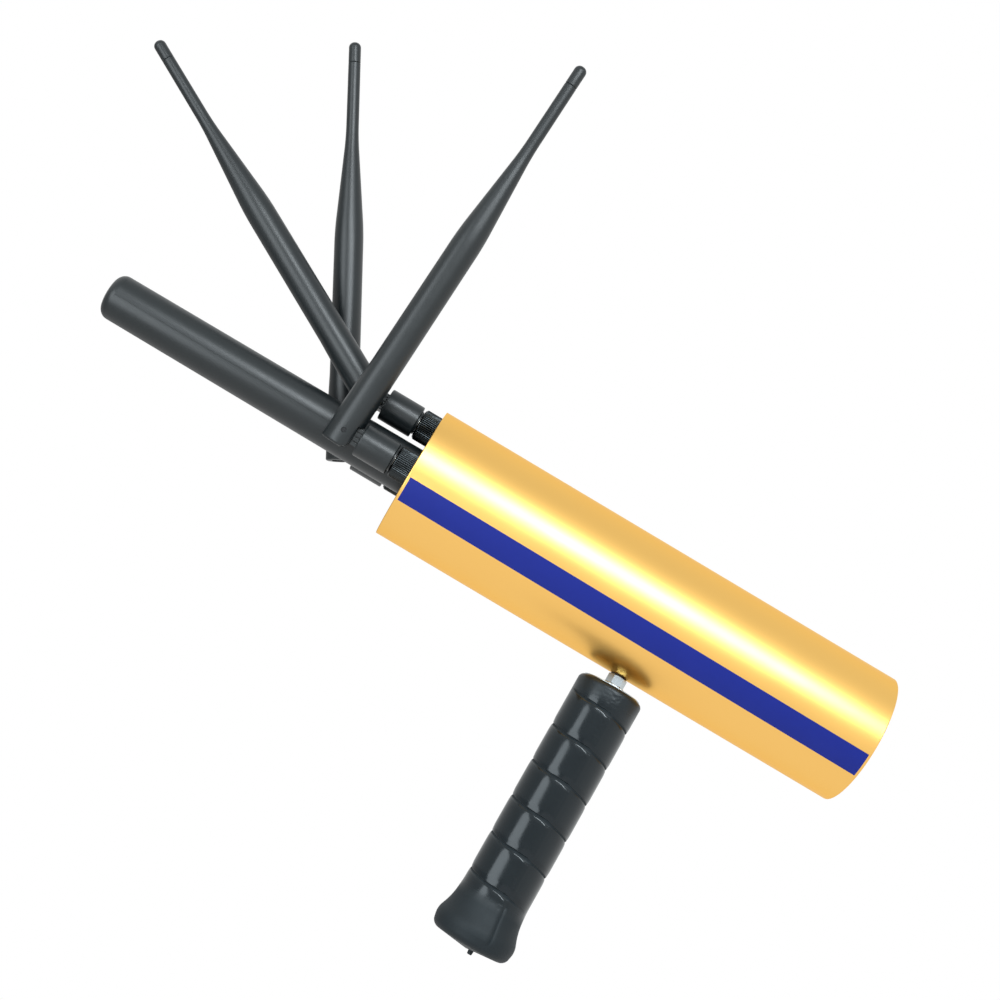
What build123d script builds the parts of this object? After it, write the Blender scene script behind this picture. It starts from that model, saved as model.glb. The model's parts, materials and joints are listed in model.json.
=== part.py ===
from build123d import *
import os
from math import cos, radians, sin

# A hand-held long range metal detector: an aluminium tube with one thick rod and three folding antennas at the
# front, a control panel at the rear, and a rubber grip below that lets the tube swing on two ball bearings.
# The origin is the middle of the grip on the handle axis: +X forward, +Y left, +Z up, in millimetres.

# Tube and label
TUBE_OD = 58.0
TUBE_WALL = 2.0
TUBE_LENGTH = 218.0
TUBE_EDGE = 0.4
FRONT_X = 117.0
LABEL_ARC = 21.4
LABEL_LOW_ANGLE = -35.7
LABEL_THICK = 0.2
LABEL_FRONT_MARGIN = 1.3
LABEL_REAR_MARGIN = 1.2

# Antenna sockets on the front plate: angle round the tube from the left side, towards the top
PLATE_RECESS = 3.0
PLATE_THICK = 4.0
SOCKET_CIRCLE_R = 19.3
SOCKET_ANGLES = {"left": -6.5, "top": 90.0, "right": 186.5}
SOCKET_THREAD_R = 3.175
SOCKET_HOLE_R = 3.3
SOCKET_FLANGE_R = 4.5
SOCKET_FLANGE_THICK = 3.0
SOCKET_TAIL_R = 1.8
SOCKET_TAIL_LENGTH = 6.0
SOCKET_REACH = 5.0
SOCKET_MOUTH_R = 2.2
SOCKET_MOUTH_DEPTH = 3.0
SOCKET_NUT_AF = 8.0
SOCKET_NUT_THICK = 2.0
SOCKET_WASHER_R = 4.9
SOCKET_WASHER_THICK = 0.5

# Folding antennas: stations are measured forward from the tube's front end
NUT_REAR = -0.3
NUT_FRONT = 7.8
NUT_R = 6.9
NUT_RIBS = 36
NUT_RIB_DEPTH = 0.35
NUT_CHAMFER = 0.7
NUT_THREAD_R = 3.3
NUT_LIP_R = 2.6
NUT_LIP_THICK = 1.9
PLUG_NOSE_R = 2.1
PLUG_FLANGE_R = 3.1
PLUG_FLANGE_THICK = 0.8
PLUG_JOURNAL_R = 2.5
PLUG_JOURNAL_END = 17.4
SWIVEL_REAR = 8.8
SWIVEL_FRONT = 24.0
SWIVEL_R = 7.0
SWIVEL_CHAMFER = 0.6
SHOULDER_REAR = 8.05
SHOULDER_R = 5.2
SWIVEL_BORE_DEPTH = 9.0
RUNNING_GAP = 0.05
HINGE_STATION = 31.5
NECK_LENGTH = 3.2
NECK_WIDTH = 7.6
TONGUE_WIDTH = 7.2
TONGUE_THICK = 5.4
PIN_R = 1.0
PIN_LENGTH = 12.2
ROD_LENGTH = 176.0
ROD_R = 6.5
ROD_FOOT = 6.6
ROD_FOOT_ROUND = 1.2
ROD_SHOULDER_R = 6.2
ROD_SHOULDER = 93.0
ROD_THIN_R = 2.72
ROD_THIN_START = 134.0
ROD_END_R = 2.62
ROD_BLEND_R = 120.0
CAP_LENGTH = 9.1
CAP_ROUND = 1.1
CAP_GROOVE = 0.25
CAP_SPIGOT = 3.0
RADIATOR_R = 1.3
RADIATOR_START = 9.0
SLOT_WIDTH = 6.0
SLOT_WALL_SIDE = 4.1
SLOT_TOP = 4.8
CHEEK_SIDE = 4.3
CHEEK_TOP = 4.2
CHEEK_ROUND = 4.0
SPINE_SIDE = 7.0
SPINE_WIDTH = 7.4
SPINE_EDGE = 2.4
SPINE_ROOT = 2.0
SPINE_TOP = 16.0
SPINE_RUN_OUT = 5.0
HEEL_ROUND = 2.8
FOOT_HEEL_ROUND = 3.2
# Rest pose of each antenna: bend of the rod from straight ahead, and lean of its fold to the left of upright
ANTENNA_POSES = {"left": (92.5, 9.1), "top": (28.6, -1.3), "right": (60.9, 3.4)}

# Centre rod
CENTRE_REACH = 144.8
CENTRE_BASE_R = 10.45
CENTRE_TIP_R = 9.95
CENTRE_TIP_ROUND = 4.2
CENTRE_BORE_R = 5.0
CENTRE_BORE_LENGTH = 134.0
CENTRE_INSERT_LENGTH = 16.0
CENTRE_THREAD_R = 4.0
CENTRE_THREAD_LENGTH = 12.0
CENTRE_NUT_AF = 13.0
CENTRE_NUT_THICK = 5.0
CENTRE_RADIATOR_R = 4.0
CENTRE_RADIATOR_LENGTH = 112.0

# Rear panel and controls: places are (left, up) from the tube axis
PANEL_RECESS = 11.0
PANEL_THICK = 3.0
KNOB_PLACE = (0.0, 9.0)
KNOB_R = 7.5
KNOB_LENGTH = 7.6
KNOB_FLUTES = 12
KNOB_FLUTE_R = 1.4
KNOB_LIFT = 2.7
KNOB_EDGE = 0.8
POINTER_WIDTH = 1.0
POINTER_DEPTH = 0.6
POT_R = 8.0
POT_LENGTH = 9.0
POT_BUSHING_R = 3.5
POT_BUSHING_LENGTH = 2.3
POT_SHAFT_R = 3.0
POT_SHAFT_SEAT = 6.0
POT_SHAFT_IN_KNOB = 6.4
PANEL_NUT_THICK = 2.0
POT_NUT_AF = 10.0
BUTTON_PLACE = (13.0, -8.0)
BUTTON_R = 4.5
BUTTON_GAP = 0.15
BUTTON_LENGTH = 8.0
BUTTON_PROUD = 2.5
BUTTON_DOME = 0.8
SWITCH_R = 6.0
SWITCH_LENGTH = 15.0
SWITCH_BEZEL_R = 7.2
BEZEL_THICK = 1.5
SWITCH_BORE_DEPTH = 9.0
SWITCH_NUT_AF = 14.0
CHARGE_PLACE = (-13.0, -8.0)
CHARGE_R = 4.0
CHARGE_LENGTH = 13.0
CHARGE_BEZEL_R = 5.6
CHARGE_MOUTH_R = 2.85
CHARGE_MOUTH_DEPTH = 9.5
CHARGE_PIN_R = 1.0
CHARGE_NUT_AF = 10.0
LENS_PLACES = [(5.0, -17.0), (-5.0, -17.0)]
LENS_R = 2.5
LENS_FLANGE_R = 2.9
LENS_FLANGE_THICK = 1.0
LENS_PROUD = 1.0

# Inner chassis: heights are measured from the tube axis
TRAY_TOP = -10.0
TRAY_THICK = 1.5
TRAY_HALF_WIDTH = 24.4
TRAY_NOTCH_HALF = 20.0
TRAY_NOTCH_END = -60.0
BOARD_LENGTH = 64.0
BOARD_WIDTH = 40.0
BOARD_THICK = 1.6
BOARD_REAR_X = -58.0
STANDOFF_R = 2.5
STANDOFF_HEIGHT = 5.0
STANDOFF_INSET = 4.0
BUZZER_R = 6.0
BUZZER_HEIGHT = 8.0
BUZZER_X = -46.0
LEAD_SOCKET_SIZE = (5.0, 6.0, 4.4)
LEAD_SOCKET_SPREAD = 14.0
CELL_R = 9.15
CELL_LENGTH = 65.0
HOLDER_REAR_X = 20.0
HOLDER_WALL = 1.5
HOLDER_HEIGHT = 15.0
LEAD_R = 1.2
LEAD_BEND_R = 3.0
LEAD_SIDE = 22.6
LEAD_SIDE_HEIGHT = 2.0
LEAD_TOP_HEIGHT = 13.0

# Handle
GRIP_LENGTH = 117.0
GRIP_GAP = 6.0
GRIP_R = 14.5
GRIP_TOP_ROUND = 2.4
GRIP_FLARE_START = 97.0
GRIP_FLARE_BLEND = 45.0
GRIP_FLARE_MID_R = 15.3
GRIP_FLARE_MID = 104.7
GRIP_FLARE_MID_BLEND = 25.0
GRIP_BEAD_R = 18.0
GRIP_BEAD = 111.8
GRIP_BEAD_ROUND = 6.5
GRIP_HEEL_R = 16.7
GRIP_HEEL_DROP = 1.2
GRIP_HEEL_ROUND = 3.5
GRIP_END_CROWN = 3.2
NUB_R = 1.1
NUB_LENGTH = 1.8
NUB_SHIFT = -2.4
LAP_LEAD = 16.7
LAP_TURNS = 5.4
LAP_TOP = 7.8
LAP_WIDTH = 1.3
LAP_DEPTH = 0.7
CORE_R = 11.0
CORE_BORE_R = 6.0
CORE_LIP = 1.5
BEARING_BORE_R = 2.5
BEARING_INNER_R = 4.0
BEARING_SHIELD_R = 4.3
BEARING_RACE_R = 6.3
BEARING_R = 8.0
BEARING_WIDTH = 5.0
BEARING_RECESS = 0.3
SHIELD_THICK = 0.5
LIP_HOLE_R = 8.4
LOWER_BEARING_TOP = -18.0
STUD_R = 2.5
STUD_TOP_MARGIN = 2.0
STUD_END = -29.0
STUD_NUT_AF = 8.0
STUD_NUT_THICK = 4.5
STUD_WASHER_R = 5.0
STUD_HOLE_GAP = 0.2
SADDLE_LENGTH = 24.0
SADDLE_WIDTH = 18.0
SADDLE_HEIGHT = 7.0
CAVITY_R = 7.0
CAVITY_END = -31.0

# Values worked out from the driving dimensions
TUBE_R = TUBE_OD / 2
BORE_R = TUBE_R - TUBE_WALL
REAR_X = FRONT_X - TUBE_LENGTH
GRIP_TOP = GRIP_LENGTH / 2
GRIP_BOTTOM = -GRIP_LENGTH / 2
TUBE_Z = GRIP_TOP + GRIP_GAP + TUBE_R
PLATE_FRONT_X = FRONT_X - PLATE_RECESS
PLATE_REAR_X = PLATE_FRONT_X - PLATE_THICK
PANEL_OUTER_X = REAR_X + PANEL_RECESS
PANEL_INNER_X = PANEL_OUTER_X + PANEL_THICK
FORWARD = Vector(1, 0, 0)
LEFT = Vector(0, 1, 0)
UP = Vector(0, 0, 1)
CENTRE = Vector(0, 0, 0)


def tube_point(x, left=0.0, up=0.0):
    """Return the point at station x, offset to the left and up from the tube axis."""
    return Vector(x, left, TUBE_Z + up)


def socket_point(side, station=0.0):
    """Return a point on a socket's axis, ahead of the tube's front end by the station."""
    angle = radians(SOCKET_ANGLES[side])
    return tube_point(FRONT_X + station, SOCKET_CIRCLE_R * cos(angle), SOCKET_CIRCLE_R * sin(angle))


def station_plane(x):
    """Return the plane across the tube at station x: local X to the left, local Y up."""
    return Plane(origin=tube_point(x), x_dir=LEFT, z_dir=FORWARD)


def turning_plane(origin, axis, radial):
    """Return the plane through an axis: local X runs out from the axis, local Y along it."""
    return Plane(origin=origin, x_dir=radial, z_dir=radial.cross(axis))


def profile(outline, origin, axis, radial):
    """Return a closed outline of (radius, station) points as a face in the plane through an axis."""
    with BuildSketch(turning_plane(origin, axis, radial)) as face:
        with BuildLine():
            Polyline(*outline, close=True)
        make_face()
    return face.sketch


def ring(inner, outer, start, end):
    """Return the outline of a plain ring or, with no inner radius, of a disc."""
    return [(inner, start), (outer, start), (outer, end), (inner, end)]


def hexagon(across_flats, hole_r, plane, places=((0.0, 0.0),)):
    """Return hexagons with a round hole, as a sketch on a plane."""
    with BuildSketch(plane) as nuts:
        with Locations(*places):
            RegularPolygon(across_flats / 2, 6, major_radius=False)
            Circle(hole_r, mode=Mode.SUBTRACT)
    return nuts.sketch


def save(piece, name):
    """Label a finished piece and write it."""
    piece.part.label = name
    export_step(piece.part, f"parts/{name}.step")


def save_turned(name, outline, origin=tube_point(0), axis=FORWARD, radial=UP):
    """Revolve one outline round an axis and write it as a piece."""
    with BuildPart() as piece:
        revolve(profile(outline, origin, axis, radial), axis=Axis(origin, axis))
    save(piece, name)


os.makedirs("parts", exist_ok=True)

# Body tube, with the hole for the handle stud underneath
with BuildPart() as body_tube:
    tube_outline = [
        (BORE_R, REAR_X),
        (TUBE_R - TUBE_EDGE, REAR_X),
        (TUBE_R, REAR_X + TUBE_EDGE),
        (TUBE_R, FRONT_X - TUBE_EDGE),
        (TUBE_R - TUBE_EDGE, FRONT_X),
        (BORE_R, FRONT_X),
    ]
    revolve(profile(tube_outline, tube_point(0), FORWARD, UP), axis=Axis(tube_point(0), FORWARD))
    with BuildSketch(Plane.XY.offset(GRIP_TOP)):
        Circle(STUD_R + STUD_HOLE_GAP)
    extrude(amount=TUBE_R, mode=Mode.SUBTRACT)
save(body_tube, "body_tube")

# Label strip, a thin film that follows the tube's side
with BuildPart() as label_strip:
    label_start = Vector(0, cos(radians(LABEL_LOW_ANGLE)), sin(radians(LABEL_LOW_ANGLE)))
    label_outline = ring(
        TUBE_R, TUBE_R + LABEL_THICK, REAR_X + LABEL_REAR_MARGIN, FRONT_X - LABEL_FRONT_MARGIN
    )
    revolve(
        profile(label_outline, tube_point(0), FORWARD, label_start),
        axis=Axis(tube_point(0), FORWARD),
        revolution_arc=LABEL_ARC,
    )
save(label_strip, "label_strip")

# Front plate, drilled for the centre rod and the three sockets
socket_places = [
    (SOCKET_CIRCLE_R * cos(radians(a)), SOCKET_CIRCLE_R * sin(radians(a))) for a in SOCKET_ANGLES.values()
]
with BuildPart() as front_plate:
    with BuildSketch(station_plane(PLATE_REAR_X)):
        Circle(BORE_R)
        Circle(CENTRE_THREAD_R, mode=Mode.SUBTRACT)
        with Locations(*socket_places):
            Circle(SOCKET_HOLE_R, mode=Mode.SUBTRACT)
    extrude(amount=PLATE_THICK)
save(front_plate, "front_plate")

# Screw sockets behind the plate, with a washer and a hex nut on each
socket_outline = [
    (0, PLATE_REAR_X - SOCKET_FLANGE_THICK - SOCKET_TAIL_LENGTH - FRONT_X),
    (SOCKET_TAIL_R, PLATE_REAR_X - SOCKET_FLANGE_THICK - SOCKET_TAIL_LENGTH - FRONT_X),
    (SOCKET_TAIL_R, PLATE_REAR_X - SOCKET_FLANGE_THICK - FRONT_X),
    (SOCKET_FLANGE_R, PLATE_REAR_X - SOCKET_FLANGE_THICK - FRONT_X),
    (SOCKET_FLANGE_R, PLATE_REAR_X - FRONT_X),
    (SOCKET_THREAD_R, PLATE_REAR_X - FRONT_X),
    (SOCKET_THREAD_R, SOCKET_REACH),
    (SOCKET_MOUTH_R, SOCKET_REACH),
    (SOCKET_MOUTH_R, SOCKET_REACH - SOCKET_MOUTH_DEPTH),
    (0, SOCKET_REACH - SOCKET_MOUTH_DEPTH),
]
with BuildPart() as antenna_sockets:
    for side in SOCKET_ANGLES:
        revolve(
            profile(socket_outline, socket_point(side), FORWARD, UP), axis=Axis(socket_point(side), FORWARD)
        )
save(antenna_sockets, "antenna_sockets")

with BuildPart() as socket_washers:
    with BuildSketch(station_plane(PLATE_FRONT_X)):
        with Locations(*socket_places):
            Circle(SOCKET_WASHER_R)
            Circle(SOCKET_THREAD_R, mode=Mode.SUBTRACT)
    extrude(amount=SOCKET_WASHER_THICK)
save(socket_washers, "socket_washers")

with BuildPart() as socket_nuts:
    nut_plane = station_plane(PLATE_FRONT_X + SOCKET_WASHER_THICK)
    extrude(hexagon(SOCKET_NUT_AF, SOCKET_THREAD_R, nut_plane, socket_places), amount=SOCKET_NUT_THICK)
save(socket_nuts, "socket_nuts")

# Centre rod: a hollow sleeve on a threaded brass insert, with its radiator inside
centre_tip = FRONT_X + CENTRE_REACH
with BuildPart() as centre_rod:
    with BuildSketch(turning_plane(tube_point(0), FORWARD, UP)):
        with BuildLine():
            centre_outer = FilletPolyline(
                (CENTRE_BASE_R, PLATE_FRONT_X),
                (CENTRE_TIP_R, centre_tip),
                (0, centre_tip),
                radius=CENTRE_TIP_ROUND,
            )
            Polyline(
                (0, centre_tip),
                (0, PLATE_FRONT_X + CENTRE_BORE_LENGTH),
                (CENTRE_BORE_R, PLATE_FRONT_X + CENTRE_BORE_LENGTH),
                (CENTRE_BORE_R, PLATE_FRONT_X),
                (CENTRE_BASE_R, PLATE_FRONT_X),
            )
        make_face()
    revolve(axis=Axis(tube_point(0), FORWARD))
save(centre_rod, "centre_rod")

insert_rear = PLATE_REAR_X - CENTRE_THREAD_LENGTH
insert_front = PLATE_FRONT_X + CENTRE_INSERT_LENGTH
save_turned(
    "centre_insert",
    [
        (0, insert_rear),
        (CENTRE_THREAD_R, insert_rear),
        (CENTRE_THREAD_R, PLATE_FRONT_X),
        (CENTRE_BORE_R, PLATE_FRONT_X),
        (CENTRE_BORE_R, insert_front),
        (0, insert_front),
    ],
)
save_turned("centre_radiator", ring(0, CENTRE_RADIATOR_R, insert_front, insert_front + CENTRE_RADIATOR_LENGTH))
with BuildPart() as centre_nut:
    extrude(
        hexagon(CENTRE_NUT_AF, CENTRE_THREAD_R, station_plane(PLATE_REAR_X - CENTRE_NUT_THICK)),
        amount=CENTRE_NUT_THICK,
    )
save(centre_nut, "centre_nut")


def build_coupling_nut(side):
    """The ribbed nut that screws an antenna onto its socket."""
    origin = socket_point(side)
    with BuildPart() as nut:
        with BuildSketch(Plane(origin=socket_point(side, NUT_REAR), x_dir=LEFT, z_dir=FORWARD)):
            Circle(NUT_R)
            with PolarLocations(NUT_R, NUT_RIBS):
                RegularPolygon(NUT_RIB_DEPTH, 3, mode=Mode.SUBTRACT)
        extrude(amount=NUT_FRONT - NUT_REAR)
        chamfer_outline = [
            (NUT_R - NUT_CHAMFER, NUT_FRONT),
            (NUT_R + NUT_CHAMFER, NUT_FRONT),
            (NUT_R + NUT_CHAMFER, NUT_FRONT - 2 * NUT_CHAMFER),
        ]
        revolve(profile(chamfer_outline, origin, FORWARD, UP), axis=Axis(origin, FORWARD), mode=Mode.SUBTRACT)
        bore_outline = [
            (0, NUT_REAR),
            (NUT_THREAD_R, NUT_REAR),
            (NUT_THREAD_R, NUT_FRONT - NUT_LIP_THICK),
            (NUT_LIP_R, NUT_FRONT - NUT_LIP_THICK),
            (NUT_LIP_R, NUT_FRONT),
            (0, NUT_FRONT),
        ]
        revolve(profile(bore_outline, origin, FORWARD, UP), axis=Axis(origin, FORWARD), mode=Mode.SUBTRACT)
    save(nut, f"{side}_coupling_nut")


def build_plug(side):
    """The turned brass plug: a nose in the socket, a flange under the nut's lip and a journal for the swivel."""
    flange_front = NUT_FRONT - NUT_LIP_THICK
    flange_rear = flange_front - PLUG_FLANGE_THICK
    nose_rear = SOCKET_REACH - SOCKET_MOUTH_DEPTH
    outline = [
        (0, nose_rear),
        (PLUG_NOSE_R, nose_rear),
        (PLUG_NOSE_R, flange_rear),
        (PLUG_FLANGE_R, flange_rear),
        (PLUG_FLANGE_R, flange_front),
        (PLUG_JOURNAL_R, flange_front),
        (PLUG_JOURNAL_R, PLUG_JOURNAL_END),
        (0, PLUG_JOURNAL_END),
    ]
    save_turned(f"{side}_plug", outline, origin=socket_point(side))


def build_swivel(side, fold_up, hinge_axis):
    """The swivel base: a turned body on the plug's journal, with a bearing shoulder, a neck and a hinge tongue."""
    origin = socket_point(side)
    hinge = socket_point(side, HINGE_STATION)
    bore_r = PLUG_JOURNAL_R + RUNNING_GAP
    body_outline = [
        (bore_r, SHOULDER_REAR),
        (SHOULDER_R, SHOULDER_REAR),
        (SHOULDER_R, SWIVEL_REAR),
        (SWIVEL_R - SWIVEL_CHAMFER, SWIVEL_REAR),
        (SWIVEL_R, SWIVEL_REAR + SWIVEL_CHAMFER),
        (SWIVEL_R, SWIVEL_FRONT - SWIVEL_CHAMFER),
        (SWIVEL_R - SWIVEL_CHAMFER, SWIVEL_FRONT),
        (0, SWIVEL_FRONT),
        (0, SWIVEL_REAR + SWIVEL_BORE_DEPTH),
        (bore_r, SWIVEL_REAR + SWIVEL_BORE_DEPTH),
    ]
    with BuildPart() as swivel:
        revolve(profile(body_outline, origin, FORWARD, UP), axis=Axis(origin, FORWARD))
        with BuildSketch(Plane(origin=socket_point(side, SWIVEL_FRONT), x_dir=fold_up, z_dir=FORWARD)):
            Rectangle(NECK_WIDTH, TONGUE_THICK)
        extrude(amount=NECK_LENGTH)
        with BuildSketch(Plane(origin=hinge, x_dir=FORWARD, z_dir=hinge_axis)):
            Circle(TONGUE_WIDTH / 2)
            with Locations(((SWIVEL_FRONT - HINGE_STATION) / 2, 0)):
                Rectangle(HINGE_STATION - SWIVEL_FRONT, TONGUE_WIDTH)
            Circle(PIN_R + RUNNING_GAP, mode=Mode.SUBTRACT)
        extrude(amount=TONGUE_THICK / 2, both=True)
    save(swivel, f"{side}_swivel")


def build_rod(side, rod_dir, side_dir, hinge_axis):
    """The antenna rod: a dual-taper sleeve with a forked foot and a back spine, drilled for its pin and radiator."""
    hinge = socket_point(side, HINGE_STATION)
    cap_seat = ROD_LENGTH - CAP_LENGTH
    with BuildPart() as rod:
        with BuildSketch(turning_plane(hinge, rod_dir, side_dir)):
            with BuildLine():
                FilletPolyline(
                    (0, -ROD_FOOT),
                    (ROD_R, -ROD_FOOT),
                    (ROD_R, 0),
                    radius=ROD_FOOT_ROUND,
                )
                FilletPolyline(
                    (ROD_R, 0),
                    (ROD_SHOULDER_R, ROD_SHOULDER),
                    (ROD_THIN_R, ROD_THIN_START),
                    (ROD_END_R, cap_seat - CAP_GROOVE),
                    radius=ROD_BLEND_R,
                )
                Polyline(
                    (ROD_END_R, cap_seat - CAP_GROOVE),
                    (ROD_END_R - CAP_GROOVE, cap_seat),
                    (RADIATOR_R, cap_seat),
                    (RADIATOR_R, RADIATOR_START),
                    (0, RADIATOR_START),
                    (0, -ROD_FOOT),
                )
            make_face()
        revolve(axis=Axis(hinge, rod_dir))
        # The foot's heel is rounded so it swings clear of the centre rod
        fold_plane = Plane(origin=hinge, x_dir=side_dir, z_dir=-hinge_axis)
        slot_reach = ROD_FOOT + 1
        with BuildSketch(fold_plane):
            with BuildLine():
                Polyline(
                    (-SPINE_SIDE, FOOT_HEEL_ROUND - ROD_FOOT),
                    (-slot_reach, FOOT_HEEL_ROUND - ROD_FOOT),
                    (-slot_reach, -slot_reach),
                    (FOOT_HEEL_ROUND - SPINE_SIDE, -slot_reach),
                    (FOOT_HEEL_ROUND - SPINE_SIDE, -ROD_FOOT),
                )
                RadiusArc(
                    (FOOT_HEEL_ROUND - SPINE_SIDE, -ROD_FOOT),
                    (-SPINE_SIDE, FOOT_HEEL_ROUND - ROD_FOOT),
                    FOOT_HEEL_ROUND,
                )
            make_face()
        extrude(amount=slot_reach, both=True, mode=Mode.SUBTRACT)
        # The back spine, a stiffening rib with rounded edges that runs out into the sleeve
        with BuildPart(mode=Mode.PRIVATE) as spine:
            with BuildSketch(fold_plane):
                with BuildLine():
                    Line((-SPINE_ROOT, -ROD_FOOT), (HEEL_ROUND - SPINE_SIDE, -ROD_FOOT))
                    RadiusArc(
                        (HEEL_ROUND - SPINE_SIDE, -ROD_FOOT),
                        (-SPINE_SIDE, HEEL_ROUND - ROD_FOOT),
                        HEEL_ROUND,
                    )
                    Polyline(
                        (-SPINE_SIDE, HEEL_ROUND - ROD_FOOT),
                        (-SPINE_SIDE, SPINE_TOP),
                        (-SLOT_WALL_SIDE, SPINE_TOP + 2 * SPINE_RUN_OUT),
                        (-SPINE_ROOT, SPINE_TOP + 2 * SPINE_RUN_OUT),
                        (-SPINE_ROOT, -ROD_FOOT),
                    )
                make_face()
            extrude(amount=SPINE_WIDTH / 2, both=True)
            back_edges = [
                edge
                for edge in spine.edges()
                if abs((edge.center() - hinge).dot(hinge_axis)) > SPINE_WIDTH / 2 - 0.01
                and (edge.center() - hinge).dot(side_dir) < -SPINE_ROOT - 0.1
                and (edge.center() - hinge).dot(rod_dir) < SPINE_TOP + 2 * SPINE_RUN_OUT - 0.1
            ]
            fillet(back_edges, SPINE_EDGE)
        add(spine.part)
        # The fork's slot, open towards the swivel
        with BuildSketch(fold_plane):
            with Locations(((slot_reach - SLOT_WALL_SIDE) / 2, (SLOT_TOP - slot_reach) / 2)):
                Rectangle(slot_reach + SLOT_WALL_SIDE, slot_reach + SLOT_TOP)
        extrude(amount=SLOT_WIDTH / 2, both=True, mode=Mode.SUBTRACT)
        # The cheeks are cut back with a round corner so the rod can fold past the swivel's face
        with BuildSketch(fold_plane):
            with BuildLine():
                Polyline(
                    (CHEEK_SIDE - CHEEK_ROUND, -ROD_FOOT),
                    (CHEEK_SIDE - CHEEK_ROUND, -slot_reach),
                    (slot_reach, -slot_reach),
                    (slot_reach, CHEEK_TOP),
                    (CHEEK_SIDE, CHEEK_TOP),
                    (CHEEK_SIDE, CHEEK_ROUND - ROD_FOOT),
                )
                RadiusArc(
                    (CHEEK_SIDE, CHEEK_ROUND - ROD_FOOT),
                    (CHEEK_SIDE - CHEEK_ROUND, -ROD_FOOT),
                    CHEEK_ROUND,
                )
            make_face()
        extrude(amount=slot_reach, both=True, mode=Mode.SUBTRACT)
        with BuildSketch(fold_plane):
            Circle(PIN_R)
        extrude(amount=ROD_R, both=True, mode=Mode.SUBTRACT)
    save(rod, f"{side}_rod")

    with BuildPart() as cap:
        with BuildSketch(turning_plane(hinge, rod_dir, side_dir)):
            with BuildLine():
                FilletPolyline(
                    (ROD_END_R, cap_seat + CAP_GROOVE),
                    (ROD_END_R, ROD_LENGTH),
                    (0, ROD_LENGTH),
                    radius=CAP_ROUND,
                )
                Polyline(
                    (0, ROD_LENGTH),
                    (0, cap_seat - CAP_SPIGOT),
                    (RADIATOR_R, cap_seat - CAP_SPIGOT),
                    (RADIATOR_R, cap_seat),
                    (ROD_END_R - CAP_GROOVE, cap_seat),
                    (ROD_END_R, cap_seat + CAP_GROOVE),
                )
            make_face()
        revolve(axis=Axis(hinge, rod_dir))
    save(cap, f"{side}_tip_cap")

    radiator_outline = ring(0, RADIATOR_R, RADIATOR_START, cap_seat - CAP_SPIGOT)
    save_turned(f"{side}_radiator", radiator_outline, hinge, rod_dir, side_dir)
    pin_outline = ring(0, PIN_R, -PIN_LENGTH / 2, PIN_LENGTH / 2)
    save_turned(f"{side}_hinge_pin", pin_outline, hinge, hinge_axis, rod_dir)


# The three folding antennas, each in its rest pose
for side, (bend, lean) in ANTENNA_POSES.items():
    fold_up = Vector(0, sin(radians(lean)), cos(radians(lean)))
    hinge_axis = FORWARD.cross(fold_up)
    rod_dir = FORWARD * cos(radians(bend)) + fold_up * sin(radians(bend))
    side_dir = fold_up * cos(radians(bend)) - FORWARD * sin(radians(bend))
    build_coupling_nut(side)
    build_plug(side)
    build_swivel(side, fold_up, hinge_axis)
    build_rod(side, rod_dir, side_dir, hinge_axis)

# Rear panel, drilled for its controls
with BuildPart() as rear_panel:
    with BuildSketch(station_plane(PANEL_OUTER_X)):
        Circle(BORE_R)
        for place, hole_r in ((KNOB_PLACE, POT_BUSHING_R), (BUTTON_PLACE, SWITCH_R), (CHARGE_PLACE, CHARGE_R)):
            with Locations(place):
                Circle(hole_r, mode=Mode.SUBTRACT)
        with Locations(*LENS_PLACES):
            Circle(LENS_R, mode=Mode.SUBTRACT)
    extrude(amount=PANEL_THICK)
save(rear_panel, "rear_panel")

# Potentiometer, its shaft and the fluted knob with a pointer groove
knob_axis = tube_point(0, *KNOB_PLACE)
shaft_inner_x = PANEL_INNER_X + POT_SHAFT_SEAT
bushing_outer_x = PANEL_OUTER_X - POT_BUSHING_LENGTH
save_turned(
    "potentiometer",
    [
        (POT_SHAFT_R + RUNNING_GAP, bushing_outer_x),
        (POT_BUSHING_R, bushing_outer_x),
        (POT_BUSHING_R, PANEL_INNER_X),
        (POT_R, PANEL_INNER_X),
        (POT_R, PANEL_INNER_X + POT_LENGTH),
        (0, PANEL_INNER_X + POT_LENGTH),
        (0, shaft_inner_x + RUNNING_GAP),
        (POT_SHAFT_R + RUNNING_GAP, shaft_inner_x + RUNNING_GAP),
    ],
    origin=knob_axis,
)
knob_inner_x = PANEL_OUTER_X - KNOB_LIFT
knob_outer_x = knob_inner_x - KNOB_LENGTH
save_turned("knob_shaft", ring(0, POT_SHAFT_R, knob_inner_x - POT_SHAFT_IN_KNOB, shaft_inner_x), origin=knob_axis)
with BuildPart() as sensitivity_knob:
    with BuildSketch(station_plane(knob_outer_x)):
        with Locations(KNOB_PLACE):
            Circle(KNOB_R)
            with PolarLocations(KNOB_R + KNOB_FLUTE_R / 2, KNOB_FLUTES, start_angle=180 / KNOB_FLUTES):
                Circle(KNOB_FLUTE_R, mode=Mode.SUBTRACT)
    extrude(amount=KNOB_LENGTH)
    chamfer(sensitivity_knob.faces().sort_by(Axis.X)[0].edges(), KNOB_EDGE)
    shaft_hole = ring(0, POT_SHAFT_R, knob_inner_x - POT_SHAFT_IN_KNOB, knob_inner_x)
    revolve(profile(shaft_hole, knob_axis, FORWARD, UP), axis=Axis(knob_axis, FORWARD), mode=Mode.SUBTRACT)
    with BuildSketch(station_plane(knob_outer_x)):
        with Locations((KNOB_PLACE[0], KNOB_PLACE[1] + KNOB_R / 2)):
            Rectangle(POINTER_WIDTH, KNOB_R)
    extrude(amount=POINTER_DEPTH, mode=Mode.SUBTRACT)
save(sensitivity_knob, "sensitivity_knob")

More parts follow.
